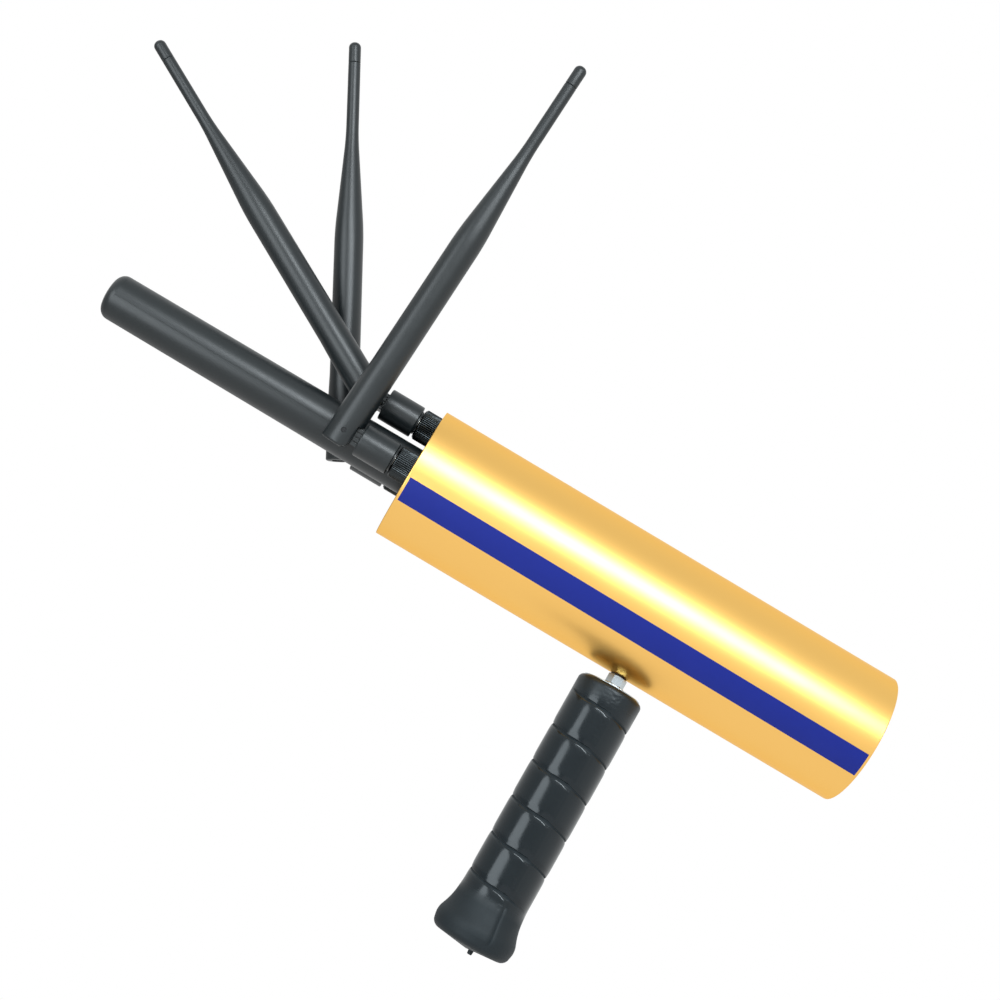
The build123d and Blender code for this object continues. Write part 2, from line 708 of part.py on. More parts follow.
# Push switch with its domed button
button_axis = tube_point(0, *BUTTON_PLACE)
bezel_x = PANEL_OUTER_X - BEZEL_THICK
switch_bore_r = BUTTON_R + BUTTON_GAP
save_turned(
    "switch_body",
    [
        (switch_bore_r, bezel_x),
        (SWITCH_BEZEL_R - BUTTON_DOME, bezel_x),
        (SWITCH_BEZEL_R, bezel_x + BUTTON_DOME),
        (SWITCH_BEZEL_R, PANEL_OUTER_X),
        (SWITCH_R, PANEL_OUTER_X),
        (SWITCH_R, PANEL_INNER_X + SWITCH_LENGTH),
        (0, PANEL_INNER_X + SWITCH_LENGTH),
        (0, bezel_x + SWITCH_BORE_DEPTH),
        (switch_bore_r, bezel_x + SWITCH_BORE_DEPTH),
    ],
    origin=button_axis,
)
button_outer_x = bezel_x - BUTTON_PROUD
with BuildPart() as power_button:
    with BuildSketch(turning_plane(button_axis, FORWARD, UP)):
        with BuildLine():
            ThreePointArc(
                (-BUTTON_R, button_outer_x + BUTTON_DOME),
                (0, button_outer_x),
                (BUTTON_R, button_outer_x + BUTTON_DOME),
            )
            Polyline(
                (BUTTON_R, button_outer_x + BUTTON_DOME),
                (BUTTON_R, button_outer_x + BUTTON_LENGTH),
                (-BUTTON_R, button_outer_x + BUTTON_LENGTH),
                (-BUTTON_R, button_outer_x + BUTTON_DOME),
            )
        make_face()
        with Locations((-BUTTON_R, button_outer_x + BUTTON_LENGTH / 2)):
            Rectangle(2 * BUTTON_R, 2 * BUTTON_LENGTH, mode=Mode.SUBTRACT)
    revolve(axis=Axis(button_axis, FORWARD))
save(power_button, "power_button")

# Charging socket with its centre pin
charge_axis = tube_point(0, *CHARGE_PLACE)
charge_floor_x = bezel_x + CHARGE_MOUTH_DEPTH
save_turned(
    "charging_socket",
    [
        (CHARGE_MOUTH_R, bezel_x),
        (CHARGE_BEZEL_R, bezel_x),
        (CHARGE_BEZEL_R, PANEL_OUTER_X),
        (CHARGE_R, PANEL_OUTER_X),
        (CHARGE_R, PANEL_INNER_X + CHARGE_LENGTH),
        (0, PANEL_INNER_X + CHARGE_LENGTH),
        (0, bezel_x + BEZEL_THICK),
        (CHARGE_PIN_R, bezel_x + BEZEL_THICK),
        (CHARGE_PIN_R, charge_floor_x),
        (CHARGE_MOUTH_R, charge_floor_x),
    ],
    origin=charge_axis,
)

# Nuts that hold the panel's fittings: outside on the potentiometer, inside on the switch and the socket
with BuildPart() as panel_nuts:
    pot_nut_plane = station_plane(PANEL_OUTER_X - PANEL_NUT_THICK)
    extrude(hexagon(POT_NUT_AF, POT_BUSHING_R, pot_nut_plane, [KNOB_PLACE]), amount=PANEL_NUT_THICK)
    inner_plane = station_plane(PANEL_INNER_X)
    extrude(hexagon(SWITCH_NUT_AF, SWITCH_R, inner_plane, [BUTTON_PLACE]), amount=PANEL_NUT_THICK)
    extrude(hexagon(CHARGE_NUT_AF, CHARGE_R, inner_plane, [CHARGE_PLACE]), amount=PANEL_NUT_THICK)
save(panel_nuts, "panel_nuts")

# Indicator lenses, flanged behind the panel and domed outside it
with BuildPart() as indicator_lenses:
    for place in LENS_PLACES:
        lens_axis = tube_point(0, *place)
        lens_outline = [
            (0, PANEL_INNER_X + LENS_FLANGE_THICK),
            (LENS_FLANGE_R, PANEL_INNER_X + LENS_FLANGE_THICK),
            (LENS_FLANGE_R, PANEL_INNER_X),
            (LENS_R, PANEL_INNER_X),
            (LENS_R, PANEL_OUTER_X - LENS_PROUD),
            (LENS_R / 2, PANEL_OUTER_X - 2 * LENS_PROUD),
            (0, PANEL_OUTER_X - 2 * LENS_PROUD),
        ]
        revolve(profile(lens_outline, lens_axis, FORWARD, UP), axis=Axis(lens_axis, FORWARD))
save(indicator_lenses, "indicator_lenses")

# Chassis tray across the tube, notched at the rear for the panel's fittings
with BuildPart() as chassis_tray:
    with BuildSketch(Plane.XY.offset(TUBE_Z + TRAY_TOP - TRAY_THICK)):
        with Locations(((PLATE_REAR_X + PANEL_INNER_X) / 2, 0)):
            Rectangle(PLATE_REAR_X - PANEL_INNER_X, 2 * TRAY_HALF_WIDTH)
        with Locations(((TRAY_NOTCH_END + PANEL_INNER_X) / 2, 0)):
            Rectangle(TRAY_NOTCH_END - PANEL_INNER_X, 2 * TRAY_NOTCH_HALF, mode=Mode.SUBTRACT)
    extrude(amount=TRAY_THICK)
save(chassis_tray, "chassis_tray")

# Circuit board on four standoffs
board_bottom = TUBE_Z + TRAY_TOP + STANDOFF_HEIGHT
board_top = board_bottom + BOARD_THICK
board_mid_x = BOARD_REAR_X + BOARD_LENGTH / 2
with BuildPart() as board_standoffs:
    with BuildSketch(Plane.XY.offset(TUBE_Z + TRAY_TOP)):
        with Locations((board_mid_x, 0)):
            with GridLocations(BOARD_LENGTH - 2 * STANDOFF_INSET, BOARD_WIDTH - 2 * STANDOFF_INSET, 2, 2):
                Circle(STANDOFF_R)
    extrude(amount=STANDOFF_HEIGHT)
save(board_standoffs, "board_standoffs")

with BuildPart() as circuit_board:
    with BuildSketch(Plane.XY.offset(board_bottom)):
        with Locations((board_mid_x, 0)):
            RectangleRounded(BOARD_LENGTH, BOARD_WIDTH, STANDOFF_INSET / 2)
    extrude(amount=BOARD_THICK)
save(circuit_board, "circuit_board")

# Board components: chips and shield cans by (x, y, length, width, height), capacitors by (x, y, radius, height)
CHIPS = [(-26, 0, 14, 14, 1.8), (-10, 9, 12, 9, 3), (-10, -9, 12, 9, 3), (-28, 13, 9, 6, 2), (-28, -13, 9, 6, 2)]
CAPACITORS = [(-42, 13, 4, 11), (-42, -13, 4, 11), (-52, 8, 3, 7)]
board_front_x = BOARD_REAR_X + BOARD_LENGTH
lead_length, lead_width, lead_height = LEAD_SOCKET_SIZE
with BuildPart() as board_components:
    for x, y, length, width, height in CHIPS:
        with BuildSketch(Plane.XY.offset(board_top)):
            with Locations((x, y)):
                Rectangle(length, width)
        extrude(amount=height)
    for x, y, radius, height in CAPACITORS:
        with BuildSketch(Plane.XY.offset(board_top)):
            with Locations((x, y)):
                Circle(radius)
        extrude(amount=height)
    with BuildSketch(Plane.XY.offset(board_top)):
        with Locations((board_front_x - 1 - lead_length / 2, 0)):
            with GridLocations(0, LEAD_SOCKET_SPREAD, 1, 3):
                Rectangle(lead_length, lead_width)
    extrude(amount=lead_height)
save(board_components, "board_components")

with BuildPart() as buzzer:
    with BuildSketch(Plane.XY.offset(board_top)):
        with Locations((BUZZER_X, 0)):
            Circle(BUZZER_R)
    extrude(amount=BUZZER_HEIGHT)
    with BuildSketch(Plane.XY.offset(board_top + BUZZER_HEIGHT)):
        with Locations((BUZZER_X, 0)):
            Circle(BUZZER_R / 5)
    extrude(amount=-BUZZER_HEIGHT / 3, mode=Mode.SUBTRACT)
save(buzzer, "buzzer")

# Battery holder, an open tray, and its two round cells
holder_length = CELL_LENGTH + 2 * HOLDER_WALL
holder_width = 4 * CELL_R + 2 * HOLDER_WALL
holder_mid_x = HOLDER_REAR_X + holder_length / 2
holder_floor = TUBE_Z + TRAY_TOP
with BuildPart() as battery_holder:
    with BuildSketch(Plane.XY.offset(holder_floor)):
        with Locations((holder_mid_x, 0)):
            Rectangle(holder_length, holder_width)
    extrude(amount=HOLDER_HEIGHT)
    with BuildSketch(Plane.XY.offset(holder_floor + HOLDER_WALL)):
        with Locations((holder_mid_x, 0)):
            Rectangle(CELL_LENGTH, 4 * CELL_R)
    extrude(amount=HOLDER_HEIGHT, mode=Mode.SUBTRACT)
save(battery_holder, "battery_holder")

with BuildPart() as battery_cells:
    with BuildSketch(station_plane(HOLDER_REAR_X + HOLDER_WALL)):
        with Locations((CELL_R, TRAY_TOP + HOLDER_WALL + CELL_R), (-CELL_R, TRAY_TOP + HOLDER_WALL + CELL_R)):
            Circle(CELL_R)
    extrude(amount=CELL_LENGTH)
save(battery_cells, "battery_cells")

# Coaxial leads from the socket tails over and beside the battery to the board
tail_x = PLATE_REAR_X - SOCKET_FLANGE_THICK - SOCKET_TAIL_LENGTH
lead_end_x = board_front_x - 1
lead_end_up = board_top + lead_height / 2 - TUBE_Z


def lead_route(side):
    """Return a lead's route: straight out of its socket, past the battery and down to the board."""
    tail = socket_point(side, tail_x - FRONT_X)
    across = {"left": 1, "top": 0, "right": -1}[side]
    run_side = across * LEAD_SIDE
    run_up = LEAD_SIDE_HEIGHT if across else LEAD_TOP_HEIGHT
    holder_front_x = HOLDER_REAR_X + holder_length
    return [
        tail,
        tail - FORWARD * 4.5,
        tube_point(holder_front_x + 2.5, run_side, run_up),
        tube_point(HOLDER_REAR_X - 1, run_side, run_up),
        tube_point(lead_end_x + 5, across * LEAD_SOCKET_SPREAD, lead_end_up),
        tube_point(lead_end_x, across * LEAD_SOCKET_SPREAD, lead_end_up),
    ]


with BuildPart() as antenna_leads:
    for side in SOCKET_ANGLES:
        with BuildLine() as route:
            FilletPolyline(*lead_route(side), radius=LEAD_BEND_R)
        with BuildSketch(Plane(origin=route.wire() @ 0, z_dir=route.wire() % 0)):
            Circle(LEAD_R)
        sweep(path=route.wire())
save(antenna_leads, "antenna_leads")

# Handle stud through the tube wall, clamped between an inner saddle block and the hex nut outside
saddle_top = TUBE_Z - BORE_R + SADDLE_HEIGHT
with BuildPart() as stud_saddle:
    with BuildSketch(station_plane(-SADDLE_LENGTH / 2)):
        Circle(BORE_R)
        with Locations((0, SADDLE_HEIGHT / 2 - BORE_R)):
            Rectangle(SADDLE_WIDTH, SADDLE_HEIGHT, mode=Mode.INTERSECT)
    extrude(amount=SADDLE_LENGTH)
    with BuildSketch(Plane.XY.offset(TUBE_Z - BORE_R)):
        Circle(STUD_R)
    extrude(amount=SADDLE_HEIGHT, mode=Mode.SUBTRACT)
save(stud_saddle, "stud_saddle")

stud_top = saddle_top + STUD_NUT_THICK + STUD_TOP_MARGIN
save_turned("handle_stud", ring(0, STUD_R, STUD_END, stud_top), CENTRE, UP, FORWARD)
tube_bottom = TUBE_Z - TUBE_R
lower_bearing_end = LOWER_BEARING_TOP - BEARING_WIDTH
for name, bottom in (
    ("inner_stud_nut", saddle_top),
    ("stud_nut", tube_bottom - STUD_NUT_THICK),
    ("lower_lock_nut", lower_bearing_end - STUD_NUT_THICK),
):
    with BuildPart() as stud_fastener:
        extrude(hexagon(STUD_NUT_AF, STUD_R, Plane.XY.offset(bottom)), amount=STUD_NUT_THICK)
    save(stud_fastener, name)
save_turned(
    "stud_washer",
    ring(STUD_R, STUD_WASHER_R, GRIP_TOP, tube_bottom - STUD_NUT_THICK),
    CENTRE,
    UP,
    FORWARD,
)

# Two shielded ball bearings: inner rings turn with the stud, outer rings stay with the grip
upper_bearing_end = GRIP_TOP - BEARING_WIDTH
with BuildPart() as bearing_inner_rings:
    for bottom in (upper_bearing_end, lower_bearing_end):
        inner_outline = ring(BEARING_BORE_R, BEARING_INNER_R, bottom, bottom + BEARING_WIDTH)
        revolve(profile(inner_outline, CENTRE, UP, FORWARD), axis=Axis.Z)
save(bearing_inner_rings, "bearing_inner_rings")

with BuildPart() as bearing_outer_rings:
    for low, high in (
        (upper_bearing_end, GRIP_TOP - BEARING_RECESS),
        (lower_bearing_end + BEARING_RECESS, LOWER_BEARING_TOP),
    ):
        outer_outline = [
            (BEARING_SHIELD_R, low),
            (BEARING_R, low),
            (BEARING_R, high),
            (BEARING_SHIELD_R, high),
            (BEARING_SHIELD_R, high - SHIELD_THICK),
            (BEARING_RACE_R, high - SHIELD_THICK),
            (BEARING_RACE_R, low + SHIELD_THICK),
            (BEARING_SHIELD_R, low + SHIELD_THICK),
        ]
        revolve(profile(outer_outline, CENTRE, UP, FORWARD), axis=Axis.Z)
save(bearing_outer_rings, "bearing_outer_rings")
save_turned(
    "bearing_spacer",
    ring(BEARING_BORE_R, BEARING_INNER_R, LOWER_BEARING_TOP, upper_bearing_end),
    CENTRE,
    UP,
    FORWARD,
)

# Grip core, bored for the bearings
save_turned(
    "grip_core",
    [
        (BEARING_R, lower_bearing_end),
        (CORE_R, lower_bearing_end),
        (CORE_R, GRIP_TOP - CORE_LIP),
        (BEARING_R, GRIP_TOP - CORE_LIP),
        (BEARING_R, upper_bearing_end),
        (CORE_BORE_R, upper_bearing_end),
        (CORE_BORE_R, LOWER_BEARING_TOP),
        (BEARING_R, LOWER_BEARING_TOP),
    ],
    CENTRE,
    UP,
    FORWARD,
)

# Grip sleeve: a moulded rubber skin with a lip over the core, a spiral lap groove, a flared end and a gate nub
with BuildPart() as grip_sleeve:
    with BuildSketch(turning_plane(CENTRE, UP, FORWARD)):
        with BuildLine():
            FilletPolyline(
                (LIP_HOLE_R, GRIP_TOP),
                (GRIP_R, GRIP_TOP),
                (GRIP_R, GRIP_TOP - GRIP_FLARE_START),
                (GRIP_FLARE_MID_R, GRIP_TOP - GRIP_FLARE_MID),
                (GRIP_BEAD_R, GRIP_TOP - GRIP_BEAD),
                (GRIP_HEEL_R, GRIP_BOTTOM - GRIP_HEEL_DROP),
                (0, GRIP_BOTTOM - GRIP_END_CROWN),
                radius=[GRIP_TOP_ROUND, GRIP_FLARE_BLEND, GRIP_FLARE_MID_BLEND, GRIP_BEAD_ROUND, GRIP_HEEL_ROUND],
            )
            Polyline(
                (0, GRIP_BOTTOM - GRIP_END_CROWN),
                (0, CAVITY_END),
                (CAVITY_R, CAVITY_END),
                (CAVITY_R, lower_bearing_end),
                (CORE_R, lower_bearing_end),
                (CORE_R, GRIP_TOP - CORE_LIP),
                (LIP_HOLE_R, GRIP_TOP - CORE_LIP),
                (LIP_HOLE_R, GRIP_TOP),
            )
        make_face()
    revolve(axis=Axis.Z)
    with BuildSketch(Plane.XY.offset(GRIP_BOTTOM - GRIP_END_CROWN - NUB_LENGTH)):
        with Locations((NUB_SHIFT, 0)):
            Circle(NUB_R)
    extrude(amount=NUB_LENGTH + GRIP_END_CROWN)
    lap_height = LAP_LEAD * LAP_TURNS
    with BuildLine():
        lap = Helix(
            LAP_LEAD,
            lap_height,
            GRIP_R,
            center=(0, 0, GRIP_TOP - LAP_TOP),
            direction=(0, 0, -1),
            lefthand=True,
        )
    with BuildSketch(Plane(origin=lap @ 0, x_dir=(lap @ 0).X * FORWARD + (lap @ 0).Y * LEFT, z_dir=lap % 0)):
        with BuildLine():
            Polyline(
                (LAP_DEPTH, LAP_WIDTH),
                (-LAP_DEPTH, 0),
                (LAP_DEPTH, -LAP_WIDTH),
                close=True,
            )
        make_face()
    sweep(path=lap, is_frenet=True, mode=Mode.SUBTRACT)
save(grip_sleeve, "grip_sleeve")
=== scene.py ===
"""The looks of a hand-held long range metal detector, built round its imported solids.

Every length is in millimetres until it reaches a mesh, where MM turns it to metres. The frame is the part's
own: the origin in the middle of the grip, +X forward towards the antennas, +Y to the holder's left, +Z up.
"""

import json
import logging
import math
from collections.abc import Sequence
from dataclasses import dataclass
from dataclasses import field
from enum import Enum

import bmesh
import bpy
from mathutils import Matrix
from mathutils import Vector
from mathutils import noise


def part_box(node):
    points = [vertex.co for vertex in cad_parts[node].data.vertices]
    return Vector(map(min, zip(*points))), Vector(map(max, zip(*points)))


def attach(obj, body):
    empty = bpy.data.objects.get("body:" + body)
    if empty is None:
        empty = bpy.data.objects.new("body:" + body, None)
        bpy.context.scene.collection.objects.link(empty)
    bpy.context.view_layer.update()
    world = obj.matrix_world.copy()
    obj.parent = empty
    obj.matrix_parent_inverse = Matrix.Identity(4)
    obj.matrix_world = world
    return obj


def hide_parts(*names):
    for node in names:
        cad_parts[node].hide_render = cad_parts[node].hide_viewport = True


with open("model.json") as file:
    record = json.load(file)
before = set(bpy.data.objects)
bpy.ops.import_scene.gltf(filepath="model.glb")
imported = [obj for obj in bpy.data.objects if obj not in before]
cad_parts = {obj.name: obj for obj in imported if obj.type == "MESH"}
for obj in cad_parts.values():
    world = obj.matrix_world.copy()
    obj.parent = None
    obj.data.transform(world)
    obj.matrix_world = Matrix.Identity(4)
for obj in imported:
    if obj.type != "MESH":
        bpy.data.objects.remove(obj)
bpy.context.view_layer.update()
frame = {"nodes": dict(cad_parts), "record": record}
LOG = logging.getLogger("detector")

Shape = bmesh.types.BMesh
Edges = list[bmesh.types.BMEdge]
Tree = bpy.types.NodeTree
Socket = bpy.types.NodeSocket
Pair = tuple[float, float]
Triple = tuple[float, float, float]
Outline = Sequence[Pair]
Rounds = dict[int, float]

MM = 0.001
WELD = 1e-6
CORNER_SEGMENTS = 8
CENTRE = (0, 0, 0)
WHITE = (1, 1, 1, 1)
FORWARD = Vector((1, 0, 0))
LEFT = Vector((0, 1, 0))
UP = Vector((0, 0, 1))


def corners(node: str) -> tuple[Triple, Triple]:
    """Return a solid's lowest and highest corners at rest, in millimetres to one decimal."""
    low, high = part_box(node)
    return tuple(round(c / MM, 1) for c in low), tuple(round(c / MM, 1) for c in high)


TUBE_LOW, TUBE_HIGH = corners("body_tube")
REAR_X = TUBE_LOW[0]
FRONT_X = TUBE_HIGH[0]
TUBE_Z = (TUBE_LOW[2] + TUBE_HIGH[2]) / 2
PANEL_X = corners("rear_panel")[0][0]
GRIP_TOP = corners("grip_sleeve")[1][2]


def linear(hex_colour: str) -> tuple[float, float, float, float]:
    """Turn an sRGB hex colour into a linear colour.

    Args:
        hex_colour: Six hex digits, such as "F6C46C".

    Returns:
        Red, green, blue and an alpha of one.
    """
    parts = [int(hex_colour[i:i + 2], 16) / 255 for i in (0, 2, 4)]
    bent = [c / 12.92 if c <= 0.04045 else ((c + 0.055) / 1.055) ** 2.4 for c in parts]
    return (bent[0], bent[1], bent[2], 1.0)


def add(
    tree: Tree, kind: str, inputs: dict[str | int, object] | None = None, **properties: object,
) -> bpy.types.Node:
    """Add one node with its settings and links.

    Args:
        tree: The node tree that gets it.
        kind: Blender's name for the node type, without the ShaderNode before it.
        inputs: Socket name or index to a value, or to an output socket to link.
        **properties: The node's own properties; "stops" fills a colour ramp.

    Returns:
        The new node.
    """
    made = tree.nodes.new(f"ShaderNode{kind}")
    stops = properties.pop("stops", None)
    for name, value in properties.items():
        setattr(made, name, value)
    if stops:
        elements = made.color_ramp.elements
        while len(elements) < len(stops):
            elements.new(0.5)
        for element, (place, colour) in zip(elements, stops):
            element.position = place
            element.color = colour
    for key, value in (inputs or {}).items():
        if isinstance(value, Socket):
            tree.links.new(value, made.inputs[key])
        else:
            made.inputs[key].default_value = value
    return made


def remap(tree: Tree, value: Socket, source: Pair, target: tuple[float | Socket, float]) -> Socket:
    """Map a value from one range evenly onto another, held at its ends, and return it."""
    return add(tree, "MapRange", {
        "Value": value, "From Min": source[0], "From Max": source[1],
        "To Min": target[0], "To Max": target[1],
    }).outputs["Result"]


def blend(tree: Tree, share: Socket, first: bpy.types.Node, second: bpy.types.Node) -> bpy.types.Node:
    """Mix two shaders by the share of the second and return the mixture."""
    return add(tree, "MixShader", {0: share, 1: first.outputs[0], 2: second.outputs[0]})


def empty_tree(owner: bpy.types.Material | bpy.types.World) -> Tree:
    """Turn on the nodes of a material or a world, and empty them.

    Args:
        owner: The material or world.

    Returns:
        Its node tree.
    """
    owner.use_nodes = True
    owner.node_tree.nodes.clear()
    return owner.node_tree


def ramp(value: float, start: float, length: float) -> float:
    """Rise evenly from zero at the start to one a length further on; a negative length runs backwards."""
    return min(1.0, max(0.0, (value - start) / length))


def ridge(offset: float, width: float) -> float:
    """Fall evenly from one at no offset to zero a width away on both sides."""
    return max(0.0, 1 - abs(offset) / width)


def bell(offset: float, width: float) -> float:
    """Fall smoothly from one at no offset to about a third a width away on both sides."""
    return math.exp(-(offset / width) ** 2)


def axes(origin: Triple, x: Vector, y: Vector, z: Vector) -> Matrix:
    """Return the matrix that puts a shape's own axes along three directions at a place in millimetres."""
    turn = Matrix((x, y, z)).transposed().to_4x4()
    return Matrix.Translation(Vector(origin) * MM) @ turn


def along_tube(left: float = 0.0, up: float = 0.0, x: float = 0.0) -> Matrix:
    """Return the matrix of a shape whose Z runs forward, beside the tube's axis."""
    return axes((x, left, TUBE_Z + up), LEFT, UP, FORWARD)


def rectangle(low: Pair, high: Pair) -> Outline:
    """Return the four corners between two opposite ones, in order from the low one."""
    return [low, (high[0], low[1]), high, (low[0], high[1])]


def wire(outline: Outline, closed: bool, rounds: Rounds | None = None) -> Shape:
    """Draw an outline in the XZ plane and round some of its corners.

    Args:
        outline: Points as (x, z) in millimetres.
        closed: Whether the last point joins the first.
        rounds: Corner number to the length cut back along each side, in millimetres.

    Returns:
        A mesh of edges.
    """
    mesh = bmesh.new()
    points = [mesh.verts.new((x * MM, 0.0, z * MM)) for x, z in outline]
    for a, b in zip(points, points[1:]):
        mesh.edges.new((a, b))
    if closed:
        mesh.edges.new((points[-1], points[0]))
    for corner, cut in (rounds or {}).items():
        bmesh.ops.bevel(
            mesh, geom=[points[corner]], offset=cut * MM, offset_type="OFFSET", segments=CORNER_SEGMENTS,
            profile=0.5, affect="VERTICES", material=-1,
        )
    return mesh


def lathe(
    outline: Outline, steps: int = 96, closed: bool = False, rounds: Rounds | None = None,
    ring_mm: float = 0.0, ring_from_mm: float = 0.0,
) -> Shape:
    """Spin an outline of (radius, height) points round Z.

    Args:
        outline: Points in millimetres, from the axis and back to it unless closed.
        steps: Faces round the axis.
        closed: Whether the outline is a closed loop off the axis.
        rounds: Corners to round, as for wire.
        ring_mm: If over zero, the longest ring that is left uncut.
        ring_from_mm: The least radius at which rings are cut.

    Returns:
        A closed shell.
    """
    mesh = wire(outline, closed, rounds)
    if ring_mm:
        for edge in mesh.edges[:]:
            cuts = int(edge.calc_length() / (ring_mm * MM))
            if cuts and min(v.co.x for v in edge.verts) >= ring_from_mm * MM:
                bmesh.ops.subdivide_edges(mesh, edges=[edge], cuts=cuts)
    bmesh.ops.spin(
        mesh, geom=mesh.verts[:] + mesh.edges[:], cent=CENTRE, axis=UP, angle=math.tau, steps=steps,
        use_merge=True,
    )
    bmesh.ops.remove_doubles(mesh, verts=mesh.verts, dist=WELD)
    bmesh.ops.recalc_face_normals(mesh, faces=mesh.faces)
    return mesh


def thicken(mesh: Shape, along: Vector) -> None:
    """Extrude all faces of a flat mesh, which closes it to a shell.

    Args:
        mesh: The flat mesh.
        along: How far and which way, in millimetres.
    """
    made = bmesh.ops.extrude_face_region(mesh, geom=mesh.faces[:])
    lid = [v for v in made["geom"] if isinstance(v, bmesh.types.BMVert)]
    bmesh.ops.translate(mesh, vec=along * MM, verts=lid)
    bmesh.ops.recalc_face_normals(mesh, faces=mesh.faces)


def prism(outline: Outline, depth: float, rounds: Rounds | None = None) -> Shape:
    """Fill a closed outline in the XZ plane and give it a depth along Y, the same to both sides.

    Args:
        outline: Points as (x, z) in millimetres.
        depth: The whole depth in millimetres.
        rounds: Corners to round, as for wire.

    Returns:
        A closed shell.
    """
    mesh = wire(outline, True, rounds)
    bmesh.ops.translate(mesh, vec=LEFT * (-depth / 2 * MM), verts=mesh.verts)
    bmesh.ops.contextual_create(mesh, geom=mesh.edges[:])
    thicken(mesh, LEFT * depth)
    return mesh


def ribbed_ring(radius: float, drops: tuple[float, ...], ribs: int) -> Shape:
    """Return a ring of edges round Z with ribs.

    Args:
        radius: The crests' radius in millimetres.
        drops: How far each corner of one rib lies below the crests, in millimetres.
        ribs: How many ribs there are.

    Returns:
        A mesh of edges.
    """
    mesh = bmesh.new()
    bmesh.ops.create_circle(mesh, segments=ribs * len(drops), radius=radius * MM)
    points = list(mesh.verts)
    for k, drop in enumerate(drops):
        share = (radius - drop) / radius
        bmesh.ops.scale(mesh, vec=(share, share, 1), verts=points[k::len(drops)])
    return mesh


def pull(mesh: Shape, edges: Edges, up: float = 0.0, radius: float = 0.0) -> Edges:
    """Extrude a ring of edges up and, if a radius is given, onto that radius.

    Args:
        mesh: The mesh that holds the ring.
        edges: The ring's edges.
        up: Millimetres along Z.
        radius: The new ring's radius in millimetres, or zero to keep its shape.

    Returns:
        The new ring's edges.
    """
    made = bmesh.ops.extrude_edge_only(mesh, edges=edges)["geom"]
    ring = [v for v in made if isinstance(v, bmesh.types.BMVert)]
    bmesh.ops.translate(mesh, vec=UP * (up * MM), verts=ring)
    if radius:
        for v in ring:
            flat = Vector((v.co.x, v.co.y, 0)).normalized() * radius * MM
            v.co.x = flat.x
            v.co.y = flat.y
    inside = set(ring)
    return [e for e in made if isinstance(e, bmesh.types.BMEdge) and set(e.verts) <= inside]


def put(mesh: Shape, matrix: Matrix) -> Shape:
    """Move a whole shape to its place and return it."""
    bmesh.ops.transform(mesh, matrix=matrix, verts=mesh.verts)
    return mesh


def settle(name: str, shape: Shape) -> bpy.types.Mesh:
    """Turn a finished shape into a mesh, and free the shape.

    Args:
        name: The mesh's name.
        shape: The finished shape.

    Returns:
        The mesh.
    """
    mesh = bpy.data.meshes.new(name)
    shape.to_mesh(mesh)
    shape.free()
    return mesh


def show(name: str, data: bpy.types.ID) -> bpy.types.Object:
    """Put data into the scene as a new object.

    Args:
        name: The object's name.
        data: A mesh, a light or a camera.

    Returns:
        The object.
    """
    made = bpy.data.objects.new(name, data)
    bpy.context.scene.collection.objects.link(made)
    return made


def join(*shapes: Shape) -> Shape:
    """Gather several closed shells into one mesh.

    Args:
        *shapes: The shells, which are freed.

    Returns:
        The mesh that holds them all.
    """
    whole = bmesh.new()
    for shape in shapes:
        part = settle("part", shape)
        whole.from_mesh(part)
        bpy.data.meshes.remove(part)
    return whole


class Keep(Enum):
    """What is kept of two shells that cross; the values are Blender's names for it."""

    FIRST_ALONE = "DIFFERENCE"
    SHARED = "INTERSECT"
    BOTH = "UNION"


def carve(shape: Shape, cutter: Shape, keep: Keep = Keep.FIRST_ALONE) -> Shape:
    """Cut one closed shell with another, or unite them.

    Args:
        shape: The first shell.
        cutter: The second shell.
        keep: What is kept.

    Returns:
        The resulting shell.
    """
    base = show("base", settle("base", shape))
    tool = show("tool", settle("tool", cutter))
    cut = base.modifiers.new("cut", "BOOLEAN")
    cut.operation = keep.value
    cut.solver = "EXACT"
    cut.object = tool
    bpy.context.view_layer.update()
    made = bpy.data.meshes.new_from_object(base.evaluated_get(bpy.context.evaluated_depsgraph_get()))
    result = bmesh.new()
    result.from_mesh(made)
    # Removing a mesh also removes the object that shows it.
    for mesh in (base.data, tool.data, made):
        bpy.data.meshes.remove(mesh)
    return result


class Pattern(Enum):
    """How a surface was made, which sets its fine texture."""

    MOULDED = "moulded"
    DRAWN = "drawn along the tube"
    TURNED = "turned or plated"
    FILM = "smooth film"

    @property
    def stretch(self) -> Triple:
        """Return the grain's scale along X, Y and Z; below one, the grain is drawn out."""
        return {Pattern.DRAWN: (0.02, 1, 1), Pattern.TURNED: (0.3, 1, 1)}.get(self, (1, 1, 1))


